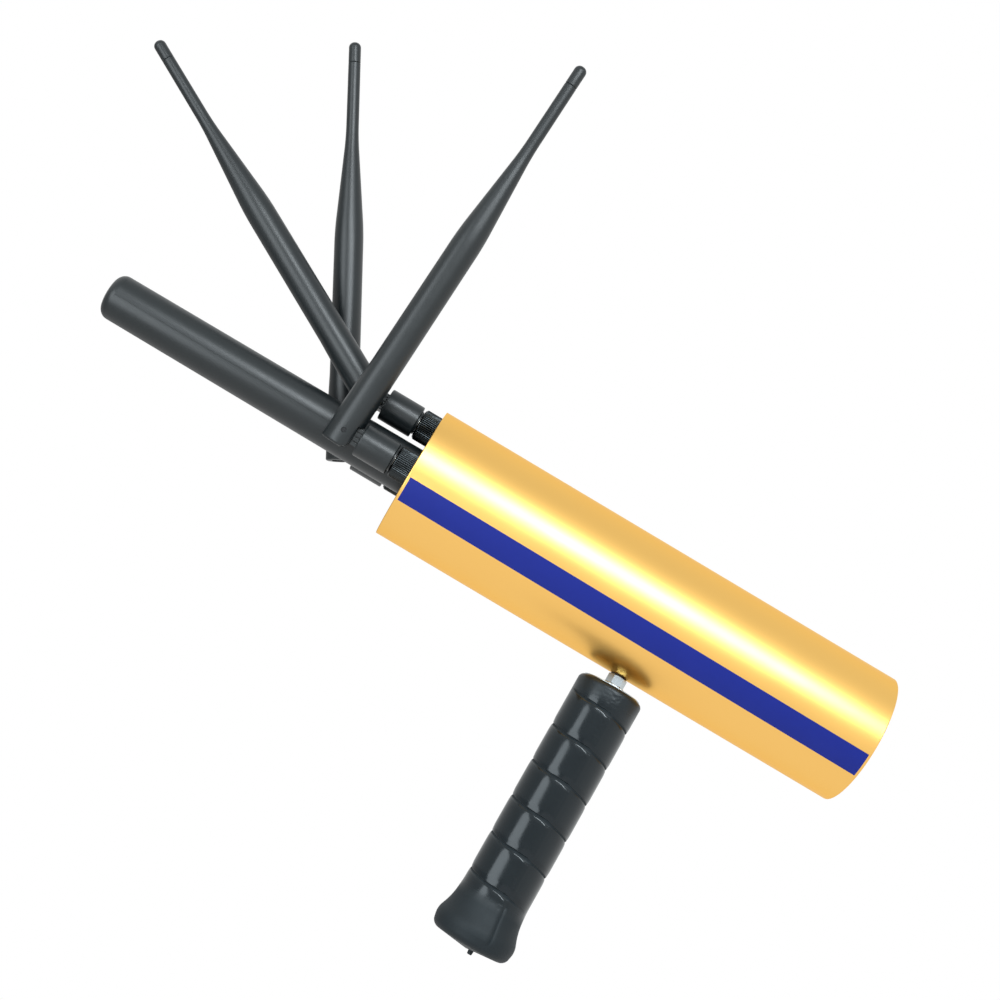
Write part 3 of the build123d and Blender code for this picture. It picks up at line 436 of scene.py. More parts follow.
@dataclass(frozen=True)
class Finish:
    """One real material and the way its surface was made.

    The real grain is too fine to show at the photograph's size, so grain_mm is as coarse as it needs to be.
    worn_mm holds heights, each with the roughness that wear adds there. cavity names the mesh attribute that
    rises to one deep in a groove, where cavity_dull is added to the roughness.
    """

    name: str
    colour: str
    second: str
    roughness: float
    pattern: Pattern
    grain_mm: float = 0.5
    bump_mm: float = 0.01
    spread: float = 0.06
    mottle_mm: float = 12.0
    metallic: float = 0.0
    ior: float = 1.5
    coat: float = 0.0
    coat_roughness: float = 0.2
    coat_ior: float = 1.5
    edge_tint: str = "FFFFFF"
    worn_mm: Outline = ()
    cavity: str = ""
    cavity_dull: float = 0.6

    def material(self) -> bpy.types.Material:
        """Build the material, unless it has been built before.

        Returns:
            The material.
        """
        known = bpy.data.materials.get(self.name)
        if known:
            return known
        made = bpy.data.materials.new(self.name)
        tree = empty_tree(made)
        shader = add(tree, "BsdfPrincipled", {
            "Metallic": self.metallic, "IOR": self.ior, "Coat Weight": self.coat,
            "Coat Roughness": self.coat_roughness, "Coat IOR": self.coat_ior,
            "Specular Tint": linear(self.edge_tint),
        })
        add(tree, "OutputMaterial", {"Surface": shader.outputs["BSDF"]})
        self.dress(tree, shader, add(tree, "TexCoord").outputs["Object"])
        return made

    def dress(self, tree: Tree, shader: bpy.types.Node, place: Socket) -> None:
        """Give the shader its colour, gloss and fine relief.

        Args:
            tree: The material's nodes.
            shader: The surface shader.
            place: Object coordinates in metres.
        """
        broad = add(tree, "TexNoise", {
            "Vector": place, "Scale": 1 / (self.mottle_mm * MM), "Detail": 4.0, "Roughness": 0.55,
        }).outputs["Fac"]
        colour = add(tree, "Mix", {
            "Factor": broad, 6: linear(self.colour), 7: linear(self.second),
        }, data_type="RGBA")
        glossy = self.roughness - self.spread
        gloss = remap(tree, broad, (0.3, 0.7), (glossy, self.roughness + self.spread))
        relief = add(tree, "Bump", {
            "Height": self.grain(tree, place), "Strength": 0.6, "Distance": self.bump_mm * MM,
        })
        dull = self.aged(tree, place, gloss)
        tree.links.new(colour.outputs[2], shader.inputs["Base Color"])
        tree.links.new(dull, shader.inputs["Roughness"])
        tree.links.new(relief.outputs["Normal"], shader.inputs["Normal"])

    def grain(self, tree: Tree, place: Socket) -> Socket:
        """Draw the fine texture, stretched the way the surface was worked.

        Args:
            tree: The material's nodes.
            place: Object coordinates in metres.

        Returns:
            The texture's height.
        """
        mapped = add(tree, "Mapping", {"Vector": place, "Scale": self.pattern.stretch})
        fine = add(tree, "TexNoise", {
            "Vector": mapped.outputs["Vector"], "Scale": 1 / (self.grain_mm * MM), "Detail": 3.0,
            "Roughness": 0.6,
        })
        return fine.outputs["Fac"]

    def aged(self, tree: Tree, place: Socket, dull: Socket) -> Socket:
        """Add what wear and deep grooves give to the roughness.

        Args:
            tree: The material's nodes.
            place: Object coordinates in metres.
            dull: The roughness so far.

        Returns:
            The whole roughness.
        """
        if self.worn_mm:
            low = self.worn_mm[0][0]
            high = self.worn_mm[-1][0]
            up = add(tree, "SeparateXYZ", {"Vector": place}).outputs["Z"]
            share = remap(tree, up, (low * MM, high * MM), (0.0, 1.0))
            stops = [((z - low) / (high - low), (more, more, more, 1)) for z, more in self.worn_mm]
            worn = add(tree, "ValToRGB", {"Fac": share}, stops=stops)
            dull = add(tree, "Math", {0: dull, 1: worn.outputs["Color"]}).outputs[0]
        if self.cavity:
            deep = add(tree, "Attribute", attribute_name=self.cavity).outputs["Fac"]
            dull = add(tree, "Math", {
                0: deep, 1: self.cavity_dull, 2: dull,
            }, operation="MULTIPLY_ADD").outputs[0]
        return dull


# Gold anodised aluminium, bead blasted before dyeing: a satin metal sheen under a thin clear oxide.
ANODISED = Finish(
    "gold_anodised_aluminium", "F8C56B", "F6C267", 0.36, Pattern.DRAWN, bump_mm=0.002, spread=0.02,
    mottle_mm=40.0, metallic=1.0, coat=0.2, coat_roughness=0.36, coat_ior=1.77, edge_tint="FFE8B2",
)
# Printed vinyl film: an even deep blue with a soft gloss and a trace of orange peel.
FILM = Finish(
    "blue_vinyl_film", "0A2289", "091F80", 0.42, Pattern.FILM, grain_mm=1.6, bump_mm=0.004, spread=0.04,
    ior=1.40,
)
# Injection moulded ABS with a fine spark texture: dark blue-grey with a broad satin highlight.
ABS = Finish(
    "moulded_black_abs", "141A1C", "181E20", 0.38, Pattern.MOULDED, grain_mm=0.9, bump_mm=0.002, spread=0.02,
    mottle_mm=9.0, ior=1.52,
)
# Black nickel plate on brass, machined with fine ribs: near black with small bright edges.
PLATED_BLACK = Finish(
    "black_plated_brass", "34383A", "3B3F41", 0.24, Pattern.TURNED, grain_mm=0.3, bump_mm=0.001, spread=0.03,
    metallic=1.0,
)
# Moulded natural rubber: near black, semi-gloss, with a soft uneven skin that is duller where it is worn.
RUBBER = Finish(
    "moulded_rubber", "081318", "0C171C", 0.17, Pattern.MOULDED, grain_mm=1.4, bump_mm=0.006, spread=0.03,
    mottle_mm=7.0, ior=1.45, edge_tint="F9FDFF", cavity="groove",
    worn_mm=((-43.5, 0.44), (-38.5, 0.0), (49.0, 0.0), (54.5, 0.24), (57.6, 0.24), (58.3, 0.0)),
)
# Steel pin blackened by dipping: dark and dull, so that it hardly shows in its hole.
BLACKENED = Finish(
    "blackened_steel", "17191B", "1D1F21", 0.42, Pattern.TURNED, grain_mm=0.25, bump_mm=0.004, metallic=0.4,
)
# Bright zinc plate on steel: a pale cool metal with faint turning marks.
ZINC = Finish(
    "zinc_plated_steel", "BCC4C8", "AEB6BA", 0.26, Pattern.TURNED, grain_mm=0.25, bump_mm=0.004, metallic=1.0,
)
# Ground bearing steel: a bright, even metal.
BEARING = Finish(
    "ground_bearing_steel", "C9CBCC", "B9BCBE", 0.20, Pattern.TURNED, grain_mm=0.2, bump_mm=0.003,
    metallic=1.0,
)
# Turned brass: warm yellow metal with fine lathe marks.
BRASS = Finish(
    "turned_brass", "D2AD62", "C09A50", 0.28, Pattern.TURNED, grain_mm=0.25, bump_mm=0.004, metallic=1.0,
)
# Nickel plate on turned brass: a bright, faintly warm white metal that glints in the gap before the nut.
NICKEL = Finish(
    "nickel_plated_brass", "D3D1C9", "C5C3BB", 0.22, Pattern.TURNED, grain_mm=0.25, bump_mm=0.004,
    metallic=1.0,
)
# Glass-filled nylon: dull black with a slightly rough skin.
NYLON = Finish("moulded_nylon", "191A1B", "202122", 0.55, Pattern.MOULDED, bump_mm=0.012)
# Sawn and sanded phenolic sheet: matte black panels.
PANEL = Finish("black_phenolic_panel", "17191A", "1F2122", 0.50, Pattern.MOULDED, grain_mm=0.35)
# Polished phenolic and ABS of controls: black with a clear gloss.
CONTROL = Finish(
    "gloss_control_plastic", "131415", "1A1B1C", 0.28, Pattern.MOULDED, grain_mm=0.6, bump_mm=0.006,
)
# Red ABS button: saturated moulded plastic.
RED = Finish("red_moulded_abs", "A81C18", "9A1815", 0.30, Pattern.MOULDED, bump_mm=0.006)
# Tinted acrylic lens: smooth and glossy.
LENS = Finish(
    "red_acrylic_lens", "B0201A", "C02A20", 0.12, Pattern.FILM, grain_mm=2.0, bump_mm=0.002, spread=0.03,
)
# Mill finish aluminium sheet: pale metal with rolling lines.
SHEET = Finish("rolled_aluminium_sheet", "C4C7C9", "B4B7B9", 0.34, Pattern.DRAWN, grain_mm=0.6, metallic=1.0)
# Glass-epoxy board under green solder mask: an even half-gloss lacquer.
BOARD = Finish("green_solder_mask", "1D5A33", "174E2B", 0.32, Pattern.FILM, grain_mm=1.0)
# Heat-shrunk sleeve over a cell can: smooth, with a soft gloss.
WRAP = Finish("blue_shrink_sleeve", "2F6C9A", "29618C", 0.30, Pattern.FILM, grain_mm=3.0)
# Extruded cable jacket: dull black with a faint grain.
JACKET = Finish("black_cable_jacket", "17181A", "1E1F21", 0.42, Pattern.MOULDED, grain_mm=0.8, bump_mm=0.008)

SLOT_FINISH = {
    "gold_anodised_tube": ANODISED, "blue_label_film": FILM, "black_abs": ABS, "brass": BRASS,
    "black_plated_nut": PLATED_BLACK, "plated_steel": ZINC, "bearing_steel": BEARING, "grip_rubber": RUBBER,
    "black_nylon": NYLON, "black_panel": PANEL, "control_plastic": CONTROL, "red_button": RED,
    "red_lens": LENS, "bare_aluminium": SHEET, "green_board": BOARD, "cell_can": WRAP, "lead_jacket": JACKET,
}
PLATING = {"_hinge_pin": BLACKENED, "_plug": NICKEL}


def make_piece(
    name: str, shape: Shape, slot: str, body: str, stands_for: str = "", sharp_deg: float = 35.0,
    edge_mm: float = 0.0,
) -> None:
    """Turn a finished shape into a piece of the object.

    Args:
        name: The piece's name.
        shape: The mesh, in its place.
        slot: The record's material slot.
        body: The body it rides on.
        stands_for: The node it takes the place of, if any.
        sharp_deg: Edges sharper than this stay crisp in the shading.
        edge_mm: If over zero, the width of a small round on the sharp edges.
    """
    mesh = settle(name, shape)
    mesh.shade_smooth()
    mesh.set_sharp_from_angle(angle=math.radians(sharp_deg))
    mesh.materials.append(SLOT_FINISH[slot].material())
    piece = show(name, mesh)
    if edge_mm:
        edge = piece.modifiers.new("soft_edges", "BEVEL")
        edge.width = edge_mm * MM
        edge.segments = 3
        edge.limit_method = "ANGLE"
        edge.angle_limit = math.radians(sharp_deg)
        edge.harden_normals = True
    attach(piece, body)
    if stands_for:
        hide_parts(stands_for)
    LOG.info("%s: %d faces on %s", name, len(mesh.polygons), body)


@dataclass(frozen=True)
class Housing:
    """The tube, its label film and the thick centre rod."""

    radius: float = 29.0
    bore: float = 27.0
    edge: float = 0.4
    label_rear_deg: float = -37.4
    label_front_deg: float = -33.9
    label_arc_deg: float = 21.3
    label_rear_inset: float = 1.2
    label_front_inset: float = 1.3
    label_thick: float = 0.18
    rod_base: float = 10.45
    rod_tip: float = 9.95
    rod_sunk: float = 3.0
    rod_reach: float = 144.8
    rod_base_round: float = 0.4
    rod_tip_round: float = 4.2
    parting: float = 0.22
    parting_deg: float = -5.0
    blade_r: float = 12.0
    blade_past: float = 1.0

    def build(self) -> None:
        """Build the housing's pieces."""
        self.tube()
        self.label()
        self.centre_rod()

    def tube(self) -> None:
        """Spin the wall, with its ends turned to a fine edge."""
        outline = rectangle((self.bore, REAR_X), (self.radius, FRONT_X))
        shape = lathe(outline, steps=192, closed=True, rounds={i: self.edge for i in range(4)})
        put(shape, along_tube())
        make_piece("tube_wall", shape, "gold_anodised_tube", "detector", "body_tube")

    def label(self) -> None:
        """Lay a thin film along the tube, a little lower at the rear end than at the front."""
        rear = REAR_X + self.label_rear_inset
        front = FRONT_X - self.label_front_inset
        shape = wire([(self.radius, rear), (self.radius, front)], False)
        bmesh.ops.spin(
            shape, geom=shape.verts[:] + shape.edges[:], cent=CENTRE, axis=UP,
            angle=math.radians(self.label_arc_deg), steps=24, use_merge=False,
        )
        for at_rear, degrees in ((True, self.label_rear_deg), (False, self.label_front_deg)):
            end = [v for v in shape.verts if (v.co.z < 0) == at_rear]
            turn = Matrix.Rotation(math.radians(degrees), 3, "Z")
            bmesh.ops.rotate(shape, cent=CENTRE, matrix=turn, verts=end)
        bmesh.ops.recalc_face_normals(shape, faces=shape.faces)
        if sum(f.normal.dot(f.calc_center_median()) for f in shape.faces) < 0:
            bmesh.ops.reverse_faces(shape, faces=shape.faces)
        bmesh.ops.solidify(shape, geom=shape.faces[:], thickness=-self.label_thick * MM)
        bmesh.ops.recalc_face_normals(shape, faces=shape.faces)
        put(shape, along_tube())
        make_piece("label_film", shape, "blue_label_film", "detector", "label_strip")

    def centre_rod(self) -> None:
        """Spin the thick rod with its rounded tip and score the mould's parting line along its sides."""
        base = FRONT_X - self.rod_sunk
        tip = FRONT_X + self.rod_reach
        outline = [(0, base), (self.rod_base, base), (self.rod_tip, tip), (0, tip)]
        shape = lathe(outline, steps=128, rounds={1: self.rod_base_round, 2: self.rod_tip_round})
        low = base - self.blade_past
        high = tip - self.rod_tip_round
        blade_view = [
            (self.rod_base - self.parting, low), (self.rod_tip - self.parting, high), (self.blade_r, high),
            (self.blade_r, low),
        ]
        for side_deg in (0.0, 180.0):
            turn = Matrix.Rotation(math.radians(side_deg + self.parting_deg), 4, "Z")
            shape = carve(shape, put(prism(blade_view, 2 * self.parting), turn))
        put(shape, along_tube())
        make_piece("centre_rod_sleeve", shape, "black_abs", "detector", "centre_rod")


@dataclass(frozen=True)
class CouplingNut:
    """The ribbed nut on an antenna's socket. Its Z runs forward from the tube's front end."""

    radius: float = 6.9
    ribs: int = 50
    rib_drops: tuple[float, ...] = (0.0, 0.12, 0.40, 0.12)
    rear: float = -0.3
    front: float = 7.8
    step: float = 0.05
    chamfer: float = 0.75
    hole: float = 2.6
    web: float = 1.9
    bore: float = 3.3

    def shape(self) -> Shape:
        """Pull a ribbed ring into a nut with a chamfered nose, a hole in it and a wider bore behind.

        Returns:
            A closed shell round Z.
        """
        shape = ribbed_ring(self.radius, self.rib_drops, self.ribs)
        put(shape, Matrix.Translation(UP * (self.rear * MM)))
        rear = shape.edges[:]
        length = self.front - self.rear
        ring = pull(shape, rear, length - self.step - self.chamfer)
        for up, radius in (
            (self.step, self.radius - self.step), (self.chamfer, self.radius - self.chamfer),
            (0.0, self.hole), (-self.web, self.hole), (0.0, self.bore), (self.web - length, self.bore),
        ):
            ring = pull(shape, ring, up, radius)
        bmesh.ops.bridge_loops(shape, edges=ring + rear)
        bmesh.ops.recalc_face_normals(shape, faces=shape.faces)
        return shape


@dataclass(frozen=True)
class SwivelBase:
    """The barrel that turns on an antenna's plug, with the toothed neck and the tongue of its hinge.

    The barrel's Z runs forward from the tube's front end. The hinge's forms lie round the pin, along Y.
    """

    radius: float = 7.0
    rear: float = 8.8
    front: float = 24.0
    rear_round: float = 0.5
    front_round: float = 0.6
    bore: float = 2.55
    bore_depth: float = 9.0
    shoulder_r: float = 5.2
    shoulder_rear: float = 8.05
    shoulder_round: float = 0.15
    pin: float = 31.5
    tongue_r: float = 3.6
    tongue_round: float = 3.58
    tongue_thick: float = 5.4
    neck_length: float = 3.0
    neck_sunk: float = 0.3
    neck_lap: float = 0.1
    neck_top: float = 3.9
    neck_thick: float = 4.7
    teeth: int = 4
    teeth_low: float = -3.8
    teeth_high: float = 4.15
    tooth_gap: float = 0.4
    tooth_sunk: float = 0.2
    tooth_length: float = 2.95
    tooth_thick: float = 5.6

    def barrel(self) -> Shape:
        """Spin the bored barrel with its bearing shoulder.

        Returns:
            A closed shell round Z.
        """
        bore_end = self.rear + self.bore_depth
        outline = [
            (0, bore_end), (self.bore, bore_end), (self.bore, self.shoulder_rear),
            (self.shoulder_r, self.shoulder_rear), (self.shoulder_r, self.rear), (self.radius, self.rear),
            (self.radius, self.front), (0, self.front),
        ]
        return lathe(outline, rounds={3: self.shoulder_round, 5: self.rear_round, 6: self.front_round})

    def hinge(self) -> list[Shape]:
        """Make the round-ended tongue, the neck behind it and the neck's teeth.

        Returns:
            A closed shell for each.
        """
        back = self.front - self.pin
        neck_end = back + self.neck_length
        tip = self.tongue_r
        rounds = {1: self.tongue_round, 2: self.tongue_round}
        neck = rectangle((back - self.neck_sunk, -tip), (neck_end + self.neck_lap, self.neck_top))
        forms = [
            prism(rectangle((neck_end, -tip), (tip, tip)), self.tongue_thick, rounds),
            prism(neck, self.neck_thick),
        ]
        step = (self.teeth_high - self.teeth_low) / self.teeth
        for k in range(self.teeth):
            base = self.teeth_low + k * step
            crest = base + step - self.tooth_gap
            tooth = rectangle((back - self.tooth_sunk, base), (back + self.tooth_length, crest))
            forms.append(prism(tooth, self.tooth_thick))
        return forms


@dataclass(frozen=True)
class RodSleeve:
    """An antenna's tapered sleeve with its forked foot, and the cap on its tip.

    Z runs along the rod from the hinge pin, and the foot's toe points to +X.
    """

    radius: float = 6.5
    length: float = 176.0
    knee: Pair = (6.2, 93.0)
    whip: Pair = (2.72, 134.0)
    blend: float = 5.0
    tip_r: float = 2.62
    groove: float = 0.25
    cap_length: float = 9.1
    cap_dome: float = 2.3
    ring: float = 12.0
    foot: float = 6.6
    foot_round: float = 1.2
    toe: float = 4.3
    toe_top: float = 4.2
    toe_round: float = 3.99
    spine_r: float = 5.3
    spine_back: float = 6.9
    spine_knee: float = 14.0
    spine_end: float = 40.0
    spine_taper: float = 0.8
    spine_round: float = 0.9
    fork_back: float = -4.1
    fork_top: float = 4.8
    fork_gap: float = 6.0
    pin_r: float = 1.1
    past: float = 9.0

    @property
    def seat(self) -> float:
        """Return the height at which the cap sits."""
        return self.length - self.cap_length

    def taper(self) -> Shape:
        """Spin the double taper, with the lower half of the groove under the cap.

        Returns:
            A closed shell round Z.
        """
        outline = [
            (0, -self.foot), (self.radius, -self.foot), self.knee, self.whip,
            (self.tip_r, self.seat - self.groove), (self.tip_r - self.groove, self.seat), (0, self.seat),
        ]
        rounds = {1: self.foot_round, 2: self.blend, 3: self.blend}
        return lathe(outline, rounds=rounds, ring_mm=self.ring)

    def side_view(self) -> Shape:
        """Make the form that trims the foot square in front, with a rounded toe.

        Returns:
            A closed shell, to keep what lies inside it.
        """
        past = self.past
        outline = [
            (-past, -self.foot), (self.toe, -self.foot), (self.toe, self.toe_top), (past, self.toe_top),
            (past, self.length), (-past, self.length),
        ]
        return prism(outline, 2 * past, {1: self.toe_round})

    def spine(self) -> Shape:
        """Spin the rounded back of the foot, which stands a little proud and runs out into the sleeve.

        Returns:
            A closed shell, to add.
        """
        outline = [
            (0, -self.foot), (self.spine_r, -self.foot), (self.spine_r, self.spine_knee),
            (self.spine_r - self.spine_taper, self.spine_end), (0, self.spine_end),
        ]
        shape = lathe(outline, rounds={1: self.spine_round, 2: self.blend})
        return put(shape, Matrix.Translation(FORWARD * ((self.spine_r - self.spine_back) * MM)))

    def pin_hole(self) -> Shape:
        """Make the plain cylinder that drills the hole for the hinge pin.

        Returns:
            A closed shell along Y.
        """
        shape = bmesh.new()
        bmesh.ops.create_cone(
            shape, cap_ends=True, segments=32, radius1=self.pin_r * MM, radius2=self.pin_r * MM,
            depth=2 * self.past * MM, matrix=Matrix.Rotation(math.pi / 2, 4, "X"),
        )
        return shape

    def sleeve(self) -> Shape:
        """Trim the taper's foot, add the spine, and cut the fork and the pin's hole.

        Returns:
            A closed shell along Z.
        """
        fork = rectangle((self.fork_back, -self.past), (self.past, self.fork_top))
        shape = carve(self.taper(), self.side_view(), Keep.SHARED)
        shape = carve(shape, self.spine(), Keep.BOTH)
        shape = carve(shape, prism(fork, self.fork_gap))
        shape = carve(shape, self.pin_hole())
        bmesh.ops.recalc_face_normals(shape, faces=shape.faces)
        return shape

    def cap(self) -> Shape:
        """Spin the domed cap, with the upper half of the groove under it."""
        outline = [
            (0, self.seat), (self.tip_r - self.groove, self.seat), (self.tip_r, self.seat + self.groove),
            (self.tip_r, self.length), (0, self.length),
        ]
        return lathe(outline, steps=64, rounds={3: self.cap_dome})


class Side(Enum):
    """Which of the three antennas."""

    LEFT = "left"
    TOP = "top"
    RIGHT = "right"


@dataclass
class Antenna:
    """One folding antenna: its ribbed nut, swivel base, rod and tip.

    socket_deg is its place on the front plate, bend_deg how far it is folded up from straight ahead, and
    lean_deg how far its plane of folding leans to the left.
    """

    side: Side
    socket_deg: float
    bend_deg: float
    lean_deg: float
    circle: float = 19.3
    nut: CouplingNut = CouplingNut()
    swivel: SwivelBase = SwivelBase()
    rod: RodSleeve = RodSleeve()
    place: Matrix = field(init=False)
    fold: Matrix = field(init=False)
    rod_place: Matrix = field(init=False)

    def __post_init__(self) -> None:
        """Work out the antenna's own frames from its angles."""
        angle = math.radians(self.socket_deg)
        lean = math.radians(self.lean_deg)
        bend = math.radians(self.bend_deg)
        left = self.circle * math.cos(angle)
        up = self.circle * math.sin(angle)
        fold_up = Vector((0, math.sin(lean), math.cos(lean)))
        across = FORWARD.cross(fold_up)
        rod_dir = FORWARD * math.cos(bend) + fold_up * math.sin(bend)
        side_dir = fold_up * math.cos(bend) - FORWARD * math.sin(bend)
        pin = (FRONT_X + self.swivel.pin, left, TUBE_Z + up)
        self.place = along_tube(left, up, FRONT_X)
        self.fold = axes(pin, FORWARD, -across, fold_up)
        self.rod_place = axes(pin, side_dir, across, rod_dir)

    def build(self) -> None:
        """Put the antenna's shapes in their places and make them its pieces."""
        side = self.side.value
        nut = put(self.nut.shape(), self.place)
        make_piece(
            f"{side}_ribbed_nut", nut, "black_plated_nut", "detector", f"{side}_coupling_nut", sharp_deg=65.0,
        )
        hinge = [put(form, self.fold) for form in self.swivel.hinge()]
        base = join(put(self.swivel.barrel(), self.place), *hinge)
        make_piece(
            f"{side}_swivel_base", base, "black_abs", f"{side}_base", f"{side}_swivel", sharp_deg=30.0,
            edge_mm=0.16,
        )
        sleeve = put(self.rod.sleeve(), self.rod_place)
        make_piece(
            f"{side}_rod_sleeve", sleeve, "black_abs", f"{side}_antenna", f"{side}_rod", sharp_deg=30.0,
            edge_mm=0.18,
        )
        cap = put(self.rod.cap(), self.rod_place)
        make_piece(f"{side}_end_cap", cap, "black_abs", f"{side}_antenna", f"{side}_tip_cap")


@dataclass(frozen=True)
class SpiralLap:
    """The lap that winds down the grip: an undercut lip over a bevel, in a shallow hollow.

    path holds angles round the grip, from +X towards +Y, each with how far the lap has come down there.
    """

    lead: float = 16.7
    turns: int = 6
    first: float = 7.8
    path: Outline = ((0.0, 0.0), (52.0, 2.2), (98.0, 2.6), (111.0, 3.5), (180.0, 6.2), (360.0, 16.7))
    in_deg: float = 25.0
    end_deg: float = 150.0
    out_deg: float = 40.0
    deep: float = 0.62
    blunt: float = 0.72
    crisp_deg: float = 85.0
    crisp_wide_deg: float = 45.0
    lip: float = 0.34
    bevel: float = 1.15
    hollow: float = 0.22
    hollow_wide: float = 1.8
    pinch_deg: float = 98.0
    pinch_wide_deg: float = 8.0
    pinch_bevel: float = 0.9

    def drop(self, degrees: float) -> float:
        """Work out how far the lap has come down; it is flatter across the front.

        Args:
            degrees: Angle round the grip.

        Returns:
            Millimetres below the start of its turn.
        """
        for (low, start), (high, end) in zip(self.path, self.path[1:]):
            if degrees <= high:
                return start + (end - start) * (degrees - low) / (high - low)
        return self.lead

    def pinch(self, degrees: float) -> float:
        """Return how near an angle is to the pinch where the lap meets the mould seam, at most one."""
        return bell(degrees - self.pinch_deg, self.pinch_wide_deg)

    def relief(self, degrees: float, z: float) -> float:
        """Work out how far the lap moves the skin.

        Args:
            degrees: Angle round the grip.
            z: Height in millimetres.

        Returns:
            Millimetres outwards.
        """
        below = GRIP_TOP - self.first - self.drop(degrees) - z
        turn = min(max(round(below / self.lead), 0), self.turns - 1)
        above = turn * self.lead - below
        strength = 1.0
        if turn == 0:
            strength = ramp(degrees, 0.0, self.in_deg)
        if turn == self.turns - 1:
            strength = ramp(degrees, self.end_deg, -self.out_deg)
        wide = self.lip if above > 0 else self.bevel * (1 + self.pinch_bevel * self.pinch(degrees))
        crisp = self.blunt + (1 - self.blunt) * ridge(degrees - self.crisp_deg, self.crisp_wide_deg)
        groove = self.deep * crisp * ridge(above, wide)
        return -strength * (groove + self.hollow * bell(above, self.hollow_wide))


@dataclass(frozen=True)
class MouldSeam:
    """The mould's seam on two sides of the grip: a fine ridge, and on the flare a crease between welts."""

    place_deg: float = 105.75
    high: float = 0.10
    wide: float = 0.6
    flare_top: float = -37.0
    flare_low: float = -58.0
    fade: float = 3.0
    crease_deep: float = 0.30
    crease_wide: float = 0.65
    welt_high: float = 0.10
    welt_off: float = 1.5
    welt_wide: float = 0.8

    def relief(self, degrees: float, z: float, radius: float) -> float:
        """Work out how far the seam moves the skin.

        Args:
            degrees: Angle round the grip.
            z: Height in millimetres.
            radius: The grip's radius in millimetres.

        Returns:
            Millimetres outwards.
        """
        turned = min(abs(degrees - self.place_deg), abs(degrees - self.place_deg - 180))
        away = math.radians(turned) * radius
        on_flare = ramp(z, self.flare_top, -self.fade) * ramp(z, self.flare_low, self.fade)
        fine = self.high * ridge(away, self.wide)
        welt = self.welt_high * bell(away - self.welt_off, self.welt_wide)
        crease = self.crease_deep * ridge(away, self.crease_wide)
        return (1 - on_flare) * fine + on_flare * (welt - crease)


@dataclass(frozen=True)
class Grip:
    """The moulded rubber sleeve, with its spiral lap, mould seam and worn collar."""

    radius: float = 14.5
    straight: float = 97.0
    waist: Pair = (15.3, -46.2)
    bead: Pair = (18.0, -53.3)
    heel: Pair = (16.7, -59.7)
    base: float = -61.7
    core_r: float = 11.0
    core_low: float = -23.0
    well_r: float = 7.0
    well_low: float = -31.0
    mouth_r: float = 8.4
    mouth_thick: float = 1.5
    mouth_corner: int = 6
    rounds_from_mouth: tuple[float, ...] = (0.5, 2.4, 2.3, 3.2, 2.05, 2.5)
    skin_r: float = 11.6
    skin_ring: float = 0.24
    plain_top: float = 2.6
    lap: SpiralLap = SpiralLap()
    seam: MouldSeam = MouldSeam()
    collar_low: float = 48.0
    collar_fade: float = 3.0
    collar_deg: float = 86.0
    collar_wide_deg: float = 26.0
    collar_rough: float = 0.09
    pinch_rough: float = 0.05
    rough_mm: float = 1.2
    cavity_from: float = 0.2
    cavity_over: float = 0.3
    nub_radii: Pair = (1.0, 1.25)
    nub_heights: Pair = (-63.2, -60.7)
    nub_round: float = 0.35
    nub_x: float = -2.4

    def build(self) -> None:
        """Build the grip's one piece."""
        skin = join(self.sleeve(), self.nub())
        make_piece("grip_skin", skin, "grip_rubber", "handle", "grip_sleeve", sharp_deg=50.0)

    def wear(self, degrees: float, z: float) -> float:
        """Work out how uneven the worn collar and the lap's pinch are.

        Args:
            degrees: Angle round the grip.
            z: Height in millimetres.

        Returns:
            Millimetres outwards.
        """
        collar = bell(degrees - self.collar_deg, self.collar_wide_deg)
        collar *= ramp(z, self.collar_low, self.collar_fade)
        rough = self.collar_rough * collar + self.pinch_rough * self.lap.pinch(degrees)
        angle = math.radians(degrees)
        spot = Vector((self.radius * math.cos(angle), self.radius * math.sin(angle), z))
        return rough * noise.noise(spot / self.rough_mm)

    def sleeve(self) -> Shape:
        """Spin the sleeve, press the relief into its skin and note how deep each point of it lies.

        Returns:
            A closed shell round Z, with the depths in a layer.
        """
        lip = GRIP_TOP - self.mouth_thick
        outline = [
            (0, self.well_low), (self.well_r, self.well_low), (self.well_r, self.core_low),
            (self.core_r, self.core_low), (self.core_r, lip), (self.mouth_r, lip), (self.mouth_r, GRIP_TOP),
            (self.radius, GRIP_TOP), (self.radius, GRIP_TOP - self.straight), self.waist, self.bead,
            self.heel, (0, self.base),
        ]
        rounds = dict(enumerate(self.rounds_from_mouth, self.mouth_corner))
        shape = lathe(outline, 160, rounds=rounds, ring_mm=self.skin_ring, ring_from_mm=self.skin_r)
        depth = shape.verts.layers.float.new(RUBBER.cavity)
        for vertex in shape.verts:
            out = math.hypot(vertex.co.x, vertex.co.y)
            if out > self.skin_r * MM and vertex.co.z < (GRIP_TOP - self.plain_top) * MM:
                degrees = math.degrees(math.atan2(vertex.co.y, vertex.co.x)) % 360
                z = vertex.co.z / MM
                off = self.lap.relief(degrees, z) + self.seam.relief(degrees, z, self.radius)
                off += self.wear(degrees, z)
                vertex[depth] = ramp(-off, self.cavity_from, self.cavity_over)
                share = 1 + off * MM / out
                vertex.co.x *= share
                vertex.co.y *= share
        return shape

    def nub(self) -> Shape:
        """Spin the small stump that the moulding gate left under the grip.

        Returns:
            A closed shell.
        """
        low, high = self.nub_heights
        outline = [(0, low), (self.nub_radii[0], low), (self.nub_radii[1], high), (0, high)]
        shape = lathe(outline, steps=24, rounds={1: self.nub_round})
        return put(shape, Matrix.Translation(FORWARD * (self.nub_x * MM)))


